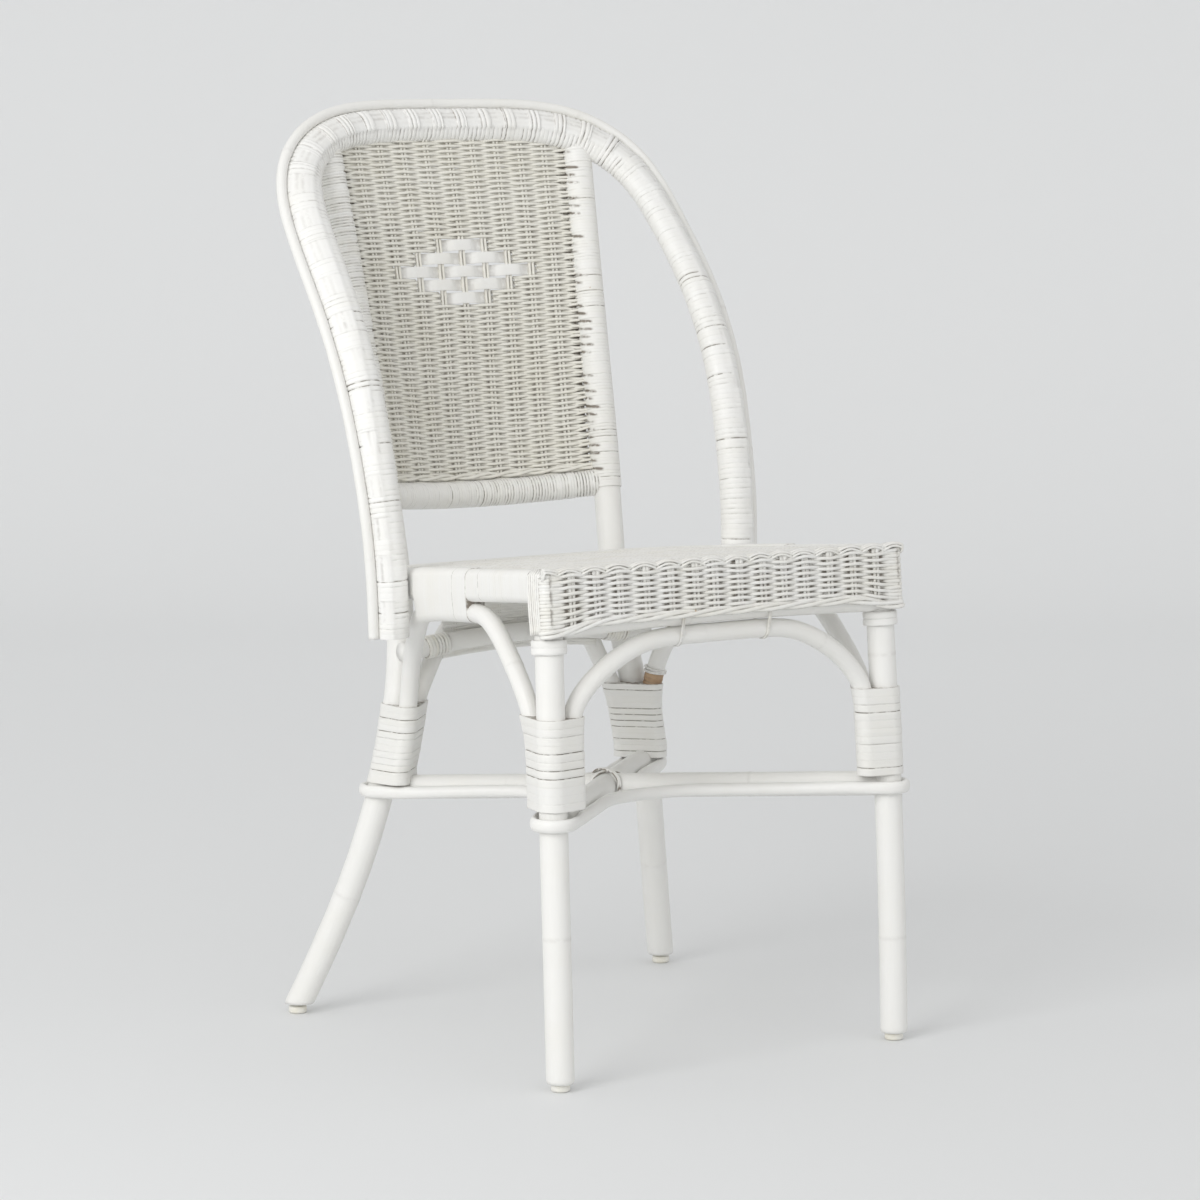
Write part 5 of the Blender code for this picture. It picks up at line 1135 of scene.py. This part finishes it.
def buildBackRail():
    # round turns wound on the bowed rail, standing out at the left end and nearly smooth at the right
    half = at(rearPost, 2, chair["backRail"])[0]
    line = panelPoint(np.linspace(-half, half, 120), chair["backRail"], 0)
    outline, length = roundOutline(line, backRailWrap["radius"], (0, 0, 1))
    places, turn, within = turnPlaces(length, backRailWrap["pitch"])
    angle = circle(backRailWrap["sides"])[None]
    strong = (0.25 + 0.75 * ease((places / length - 0.25) / 0.5))[:, None]
    height, seam = turnRelief(turn, within, angle, backRailWrap["depth"], backRailWrap["openness"] * strong, 3.3, 2.2)
    height = height + backRailWrap["uneven"] * (hashed(turn, 8.0)[:, None] - 0.5) * strong
    part = sleeve(outline, places, height, backRailWrap["sink"], (angle * 0.012, places[:, None], 0), seam,
                  hashed(turn, 4.0)[:, None])
    makePiece("backRail", [part], wrapFinish)


buildBackPanel()
buildRibbons()
buildBackRail()


# Woven seat

seatWeave = {
    "columns": np.array([-0.1767, -0.1491, -0.1229, -0.0932, -0.0655, -0.0376, -0.0152, 0.0131, 0.0398, 0.0644,
                         0.0898, 0.1189, 0.1464, 0.1741]),
    "pitch": 0.0272, "side": 0.2063, "middle": 0.0016, "corner": 0.0058, "strandsApart": 0.00205,
    "dip": 0.0085, "dipFrom": 0.138, "dipOver": 0.062, "sideEnds": (0.0105, 0.0085),
}


def columnNumber(x):
    # which stake group a place lies at, as a running number, at the mean pitch beyond the outer groups
    columns, pitch = seatWeave["columns"], seatWeave["pitch"]
    inside = np.interp(x, columns, np.arange(len(columns)))
    return inside + np.minimum(x - columns[0], 0) / pitch + np.maximum(x - columns[-1], 0) / pitch


def skirtPlan(count):
    # plan line of the skirt's middle: along a side, round the corner, across the front and back, with its
    # outward way
    radius, side, middle = seatWeave["corner"], seatWeave["side"], seatWeave["middle"]
    turn = np.linspace(0, np.pi / 2, 7)
    corner = np.stack([side - radius + radius * np.cos(turn), middle + radius - radius * np.sin(turn)], 1)
    half = np.concatenate([[[side, end] for end in seatWeave["sideEnds"]], corner])
    halfAway = np.concatenate([[[1.0, 0.0]] * 2, np.stack([np.cos(turn), -np.sin(turn)], 1)])
    x = np.linspace(side - radius, radius - side, count + 2)[1:-1]
    flip = np.array([-1.0, 1.0])
    plan = np.concatenate([half, np.stack([x, np.full(count, middle)], 1), half[::-1] * flip])
    return plan, np.concatenate([halfAway, [[0.0, -1.0]] * count, halfAway[::-1] * flip])


def cornerDip(x):
    # how far the lower edge drops towards the corners
    return seatWeave["dip"] * ease((np.abs(x) - seatWeave["dipFrom"]) / seatWeave["dipOver"])


skirtStake = {"below": 0.050, "rim": 0.0012, "bend": 0.004, "lean": 0.0010, "wide": (0.0014, 0.0015, 0.0022),
              "widerAt": (0, 5, 8), "thick": 0.0017, "tail": ((0.012, -0.0013), (0.022, -0.0019))}


def skirtStakes():
    # pairs of strands up the skirt, over the rim by a quarter circle and back under the sheet's first rows
    turn, middle = np.linspace(0, np.pi / 2, 6)[1:], seatWeave["middle"]
    top, bend = -skirtStake["rim"], skirtStake["bend"]
    rise = np.linspace(-skirtStake["below"], top - bend, 10)
    profile = np.concatenate([
        np.stack([np.full(10, middle), rise], 1),
        np.stack([middle + bend * (1 - np.cos(turn)), top - bend * (1 - np.sin(turn))], 1),
        skirtStake["tail"]])
    stakes = []
    for group, x in enumerate(seatWeave["columns"]):
        for strand in (-1, 1):
            lean = skirtStake["lean"] * (hashed(group * 3 + strand, 2.0) - 0.5)
            across = x + strand * seatWeave["strandsApart"] + lean * np.linspace(1, -1, len(profile))
            path = np.column_stack([across, profile])
            path[:10, 2] -= cornerDip(x) * np.linspace(1, 0, 10)
            stakes.append(path)
    return np.array(stakes)


# the last keys set the painted shade on the rows behind the stakes and at the corners' gap
skirt = {"rows": 17, "firstRow": 0.0066, "lastRow": 0.0474, "swing": 0.0020, "wide": 0.00168, "thick": 0.00115,
         "spread": 0.0011, "wander": 0.00035, "cornerSwing": 0.0002, "behind": 1.30, "cornerFrom": 0.184,
         "crackAt": 0.1998, "crackWide": 0.0011, "crackShade": 1.5}


def skirtRows():
    # rows over and under the groups, with how wide each is and the painted shade on it; upper rows spread over
    # the groups and close up between them, and all fan towards the dipped corners
    plan, outward = skirtPlan(150)
    rows = np.arange(skirt["rows"])[:, None]
    share = rows / (skirt["rows"] - 1)
    x = plan[None, :, 0]
    number, far = columnNumber(x), np.abs(x) - skirt["cornerFrom"]
    near = np.abs(number - np.round(number))
    spread = (skirt["spread"] * np.clip(1 - share * 2.2, 0, 1) * np.cos(fullTurn * near)
              * np.where(rows % 2, 0.4, -0.4))
    depth = (skirt["firstRow"] + (skirt["lastRow"] - skirt["firstRow"]) * share + cornerDip(x) * share ** 1.6
             + spread + skirt["wander"] * waver(x + 3 * hashed(rows, 1.0), 2.0, 0.014))
    forward = skirt["swing"] * plait(number + rows, 0.7) * (1 - 0.8 * ease(far / 0.010))
    turning = np.broadcast_to(np.abs(plan[:, 1] - seatWeave["middle"]) > 0.0004, forward.shape)
    forward = np.where(turning, skirt["cornerSwing"] * np.where(rows % 2, 1, -1), forward)
    points = plan[None] + forward[..., None] * outward[None]
    wide = skirt["wide"] * (1 + 0.12 * ease(far / 0.008)) + 0 * forward
    # painted shade on the rows where they pass behind the stakes
    behind = skirt["behind"] * ease((-0.32 - forward / skirt["swing"]) / 0.45)
    # painted shade: a dark upright line on the rows at the gap between them and the corner's bundle
    crackShade = skirt["crackShade"] * bell(np.abs(x) - skirt["crackAt"], skirt["crackWide"])
    return np.concatenate([points, -depth[..., None]], -1), wide, np.maximum(behind, crackShade)


border = {"size": (0.00120, 0.00105), "limit": 0.2065, "shift": 0.003, "outer": 0.92, "along": 0.0013,
          "lower": 0.0008, "wobble": 0.0006,
          "layers": ((0.0, 0.0, 1.0), (-0.0023, -0.0003, 0.84), (0.0008, 0.0024, 1.02))}


def archBorder():
    # each stake group's end arches over the next groups as three strands that rise, crown and dive inside, as
    # splines through shares of the pitch and millimetres up and along
    shape = np.array([(-0.86, -6.6, 3.4), (-0.68, -4.6, 0.9), (-0.46, -2.0, -1.1), (-0.22, 0.3, -1.3),
                      (0.0, 1.0, -1.2), (0.22, 0.4, -1.2), (0.46, -1.6, -1.0), (0.70, -4.0, 0.1),
                      (0.92, -6.2, 2.6)])
    columns, pitch = seatWeave["columns"], seatWeave["pitch"]
    columns = [columns[0] - pitch * border["outer"], *columns, columns[-1] + pitch * border["outer"]]
    strands = []
    for number, x in enumerate(columns, -1):
        for layer, (lift, out, width) in enumerate(border["layers"]):
            wobble = border["wobble"] * (hashed(number * 3 + layer, 4.0) - 0.5)
            across, rise, along = splineCurve(shape * [pitch * width, 0.001, 0.001], 30).T
            strands.append(np.stack([np.clip(x - border["shift"] + across, -border["limit"], border["limit"]),
                                     border["along"] + along + out, rise + lift + wobble - border["lower"]], 1))
    return np.array(strands)


rope = {"size": (0.00215, 0.0019), "pitch": 0.108, "radius": 0.0011, "tall": 0.0024, "out": 0.0004,
        "drop": 0.0505}


def ropeBorder():
    # three strands twisted slowly along the lower edge: a circle round the edge line turning with the distance
    plan, outward = skirtPlan(170)
    turns = fullTurn * (distances(plan) / rope["pitch"] + np.arange(3)[:, None] / 3)
    out = rope["radius"] * np.cos(turns) + rope["out"]
    drop = rope["drop"] + rope["tall"] * np.sin(turns) + cornerDip(plan[:, 0])
    return np.concatenate([plan + out[..., None] * outward, -drop[..., None]], -1)


bundle = {"size": (0.0014, 0.00162), "strands": 6, "along": 0.0102, "pitch": 0.0032, "top": 0.0012,
          "bow": 0.0009, "tuck": 0.004, "lean": 0.0008}


def cornerBundles():
    # upright strands side by side over each end of the skirt, bowed by half a sine and tucked in at the top
    levels, strands = np.linspace(0, 1, 14), bundle["strands"]
    bundles = []
    for side in (-1, 1):
        for strand in range(strands):
            crown = bundle["top"] * (math.sin(strand / (strands - 1) * math.pi) - 1)
            height = crown - levels * (rope["drop"] + cornerDip(0.2075)) * (1 if strand else 0.98)
            x = side * (seatWeave["side"] + bundle["bow"] * np.sin(levels * np.pi)
                        - bundle["tuck"] * ease((0.05 - levels) / 0.05))
            lean = bundle["lean"] * (hashed(strand + side * 7, 3.0) - 0.5)
            bundles.append(np.stack([x, bundle["along"] + strand * bundle["pitch"] + lean * levels, height], 1))
    return np.array(bundles)


sheet = {"first": 0.0065, "pitch": 0.0031, "size": (0.0016, 0.0011), "stake": (0.0015, 0.0012), "depth": 0.0021,
         "swing": 0.00085, "dive": 0.0020, "diveOver": 0.004, "wander": 0.0003, "beforeRail": 0.036,
         "taper": 0.08, "rearHeight": 0.44, "overBar": 0.0035, "frontTo": 0.026, "frontHalf": 0.2035,
         "pastRear": 0.006, "stakesFrom": 0.012, "stakesPast": 0.002, "stakesWithin": 0.165}


def sheetEnd():
    # how far behind the front rim the posts stand, less the room left before them
    return at(rearPost, 2, sheet["rearHeight"])[1] - chair["seatFrontY"] - sheet["beforeRail"]


def sheetRows():
    # rows across the top, over and under the groups; their ends dive beside the side bars
    rear = sheetEnd()
    along = np.arange(sheet["first"], rear, sheet["pitch"])[:, None]
    half = frameSideX(chair["seatFrontY"] + along) - frameBar["width"] / 2 + sheet["overBar"]
    half = np.where(along < sheet["frontTo"], sheet["frontHalf"], half)
    corner = frameBar["corner"] - frameBar["width"]
    into = np.clip(along - (rear + sheet["pastRear"] - corner), 0, corner * 0.98)
    half = half - (corner - np.sqrt(corner**2 - into**2))
    x = half * np.linspace(-1, 1, 136)
    number = columnNumber(x / (1 - sheet["taper"] * along / rear))
    rows = np.arange(len(along))[:, None]
    height = (sheet["swing"] * plait(number + rows) - sheet["depth"]
              - sheet["dive"] * ease((np.abs(x) - half + sheet["diveOver"]) / sheet["diveOver"]))
    wander = sheet["wander"] * waver(x + 3 * hashed(rows, 6.0), 5.0, 0.02)
    return np.stack([x, along + wander, height], -1)


def sheetStakes():
    # pairs of straight stakes that draw together towards the back
    rear = sheetEnd() + sheet["stakesPast"]
    along = np.linspace(sheet["stakesFrom"], rear, 40)
    return np.array([np.stack([(x + strand * seatWeave["strandsApart"]) * (1 - sheet["taper"] * along / rear),
                               along, np.full(40, -sheet["depth"])], 1)
                     for x in seatWeave["columns"] if abs(x) < sheet["stakesWithin"] for strand in (-1, 1)])


def buildSeat():
    # the sheet, the skirt, its borders and the corner bundles, laid on the seat's plane as oval strands
    up, out, aside = (0, 0.0932, 0.9956), (0, -1, 0.09), (1, 0, 0)
    rows, rowWide, behind = skirtRows()
    # the stakes broaden towards the rim
    stakes = skirtStakes()
    broad = np.interp(np.arange(stakes.shape[1]), skirtStake["widerAt"], skirtStake["wide"])
    laid = [
        (sheetRows(), *sheet["size"], up, 6, 0.9, 0), (sheetStakes(), *sheet["stake"], up, 6, 0.6, 0),
        (stakes, skirtStake["thick"], broad, aside, 8, 0.6, 0),
        (rows, rowWide, skirt["thick"], None, 8, 0.7, behind),
        (archBorder(), *border["size"], out, 8, 0.4, 0), (ropeBorder(), *rope["size"], None, 8, 0.9, 0),
        (cornerBundles(), *bundle["size"], aside, 8, 0.9, 0)]
    parts = []
    for index, (paths, wide, tall, toward, sides, seam, shade) in enumerate(laid):
        paths = fromSeat(paths)
        # the skirt's outward way turns with its corner
        toward = toward or np.cross(unit(np.gradient(paths, axis=1)), up)
        parts.append(tubes(paths, wide, tall, toward, sides, seed=index + 1.0, seam=seam, shade=shade))
    makePiece("seatWeave", parts, weaveFinish)


apron = {"rows": 20, "stakePitch": 0.0262, "groups": 3, "strandsApart": 0.0028, "swing": 0.0003, "over": 0.0015,
         "under": 0.006, "row": (0.0021, 0.0011), "stake": (0.0007, 0.0014)}


def buildApron():
    # short rows over and under upright stakes between the seat frame and the rear rail
    low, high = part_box("rear_apron")
    y = (low[1] + high[1]) / 2 - chair["middleShift"]
    x = np.linspace(low[0], high[0], 80)
    sag = at(rearRail, 0, x)[:, 2] - rearRail[60, 2]
    top, bottom = high[2] - apron["over"], rearRail[60, 2] - rails["rear"] / 2 - apron["under"]
    rows = [np.stack([x, y + apron["swing"] * plait(x / apron["stakePitch"] + row),
                      top + (bottom - top + sag) * share], 1)
            for row, share in enumerate(np.linspace(0, 1, apron["rows"]))]
    spots = [number * apron["stakePitch"] + strand * apron["strandsApart"]
             for number in range(-apron["groups"], apron["groups"] + 1) for strand in (-1, 0, 1)]
    stakes = [np.column_stack([np.tile([spot, y], (12, 1)), np.linspace(top, bottom, 12)]) for spot in spots]
    parts = [tubes(np.array(rows), *apron["row"], (0, -1, 0), 8, seed=1.0, seam=0.0),
             tubes(np.array(stakes), *apron["stake"], (1, 0, 0), 8, seed=2.0, seam=0.6)]
    makePiece("rearApron", parts, weaveFinish)


buildSeat()
buildApron()


# Floor, backdrop, lights and camera

view = {"place": (-2.4353, -3.5969, 0.9482), "down": math.radians(6.97), "turn": math.radians(-34.33),
        "lens": 133.887, "sensor": 36.0}
stage = {"floor": 0.77, "roughness": 0.7, "nearLift": 0.022, "farLift": 0.066, "liftFrom": -1.0, "liftTo": 2.6,
         "frontY": -60.0, "backY": 3.0, "bend": 1.4, "height": 5.0, "halfWidth": 60.0}
light = {"world": 0.785, "lean": 0.19, "leanWay": (-0.55, -0.62, -0.55), "keyPower": 56.0,
         "keyPlace": (-3.3, -1.4, 2.1), "keyTarget": (0, 0, 0.45), "keySize": 2.0}


def linkAll(tree, pairs):
    # one link for each pair of sockets
    for source, target in pairs:
        tree.links.new(source, target)


def floorMaterial():
    # pale paper; seen directly or in a reflection it is lifted a little with its distance behind the chair
    material = bpy.data.materials.new("paleFloor")
    material.use_nodes = True
    nodes = material.node_tree.nodes
    shader, shade = nodes["Principled BSDF"], stage["floor"]
    shader.inputs["Base Color"].default_value = (shade, shade * 1.010, shade * 1.012, 1)
    shader.inputs["Roughness"].default_value = stage["roughness"]
    shader.inputs["Emission Color"].default_value = (1.0, 1.0, 1.0, 1)
    place, split, lift, ray, direct, seen, shown = (nodes.new("ShaderNode" + kind) for kind in (
        "NewGeometry", "VectorMath", "MapRange", "LightPath", "Math", "Math", "Math"))
    split.operation = "DOT_PRODUCT"
    split.inputs[1].default_value = (-math.sin(view["turn"]), math.cos(view["turn"]), 0.0)
    for socket, value in (("From Min", "liftFrom"), ("From Max", "liftTo"), ("To Min", "nearLift"),
                          ("To Max", "farLift")):
        lift.inputs[socket].default_value = stage[value]
    direct.operation, seen.operation, shown.operation = "MAXIMUM", "MAXIMUM", "MULTIPLY"
    linkAll(material.node_tree, (
        (place.outputs["Position"], split.inputs[0]), (split.outputs["Value"], lift.inputs["Value"]),
        (ray.outputs["Is Camera Ray"], direct.inputs[0]), (ray.outputs["Is Glossy Ray"], direct.inputs[1]),
        (direct.outputs[0], seen.inputs[0]), (ray.outputs["Is Transmission Ray"], seen.inputs[1]),
        (seen.outputs[0], shown.inputs[0]), (lift.outputs[0], shown.inputs[1]),
        (shown.outputs[0], shader.inputs["Emission Strength"])))
    return material


def buildStage():
    # floor running back into a curved backdrop: a straight run, a quarter circle and a rise, turned to the view
    turn, bend, yaw = np.linspace(0, np.pi / 2, 24), stage["bend"], view["turn"]
    profile = np.concatenate([[[stage["frontY"], 0]],
                              np.stack([stage["backY"] + bend * np.sin(turn), bend * (1 - np.cos(turn))], 1),
                              [[stage["backY"] + bend, stage["height"]]]])
    across, back = np.array([-stage["halfWidth"], stage["halfWidth"]])[None], profile[:, :1]
    x, y = across * math.cos(yaw) - back * math.sin(yaw), across * math.sin(yaw) + back * math.cos(yaw)
    points = np.stack([x, y, np.broadcast_to(profile[:, 1:], x.shape)], -1).reshape(-1, 3)
    index = np.arange(len(points)).reshape(-1, 2)
    faces = np.stack([index[:-1, 0], index[:-1, 1], index[1:, 1], index[1:, 0]], -1)
    mesh = bpy.data.meshes.new("floor")
    mesh.from_pydata(points.tolist(), [], faces.tolist())
    mesh.polygons.foreach_set("use_smooth", [True] * len(faces))
    mesh.materials.append(floorMaterial())
    floor = bpy.data.objects.new("floor", mesh)
    bpy.context.scene.collection.objects.link(floor)
    print("stage ready")


def buildLights():
    # the sky is a little brighter at the front left and low down: a base and a share of each way's lean there;
    # one square lamp is turned from its place to its target
    world = bpy.data.worlds.new("studio")
    world.use_nodes = True
    bpy.context.scene.world = world
    background = world.node_tree.nodes["Background"]
    background.inputs["Color"].default_value = (1.0, 1.0, 1.0, 1)
    place, lean, level = (world.node_tree.nodes.new("ShaderNode" + kind) for kind in (
        "TexCoord", "VectorMath", "Math"))
    lean.operation, level.operation = "DOT_PRODUCT", "MULTIPLY_ADD"
    lean.inputs[1].default_value = light["leanWay"]
    level.inputs[1].default_value, level.inputs[2].default_value = light["lean"], light["world"]
    linkAll(world.node_tree, (
        (place.outputs["Generated"], lean.inputs[0]), (lean.outputs["Value"], level.inputs[0]),
        (level.outputs[0], background.inputs["Strength"])))
    data = bpy.data.lights.new("keyLight", "AREA")
    data.shape, data.energy = "RECTANGLE", light["keyPower"]
    data.size = data.size_y = light["keySize"]
    lamp = bpy.data.objects.new("keyLight", data)
    bpy.context.scene.collection.objects.link(lamp)
    lamp.location = light["keyPlace"]
    x, y, z = np.array(light["keyPlace"]) - np.array(light["keyTarget"])
    lamp.rotation_euler = (math.atan2(math.hypot(x, y), z), 0, math.atan2(y, x) + math.pi / 2)
    print("lights ready")


def buildCamera():
    # at the photograph's place and angle
    data = bpy.data.cameras.new("camera")
    data.lens, data.sensor_width, data.sensor_fit = view["lens"], view["sensor"], "HORIZONTAL"
    camera = bpy.data.objects.new("camera", data)
    bpy.context.scene.collection.objects.link(camera)
    camera.location = view["place"]
    camera.rotation_euler = (math.pi / 2 - view["down"], 0, view["turn"])
    bpy.context.scene.camera = camera


buildStage()
buildLights()
buildCamera()
bpy.context.scene.view_settings.view_transform = "Standard"
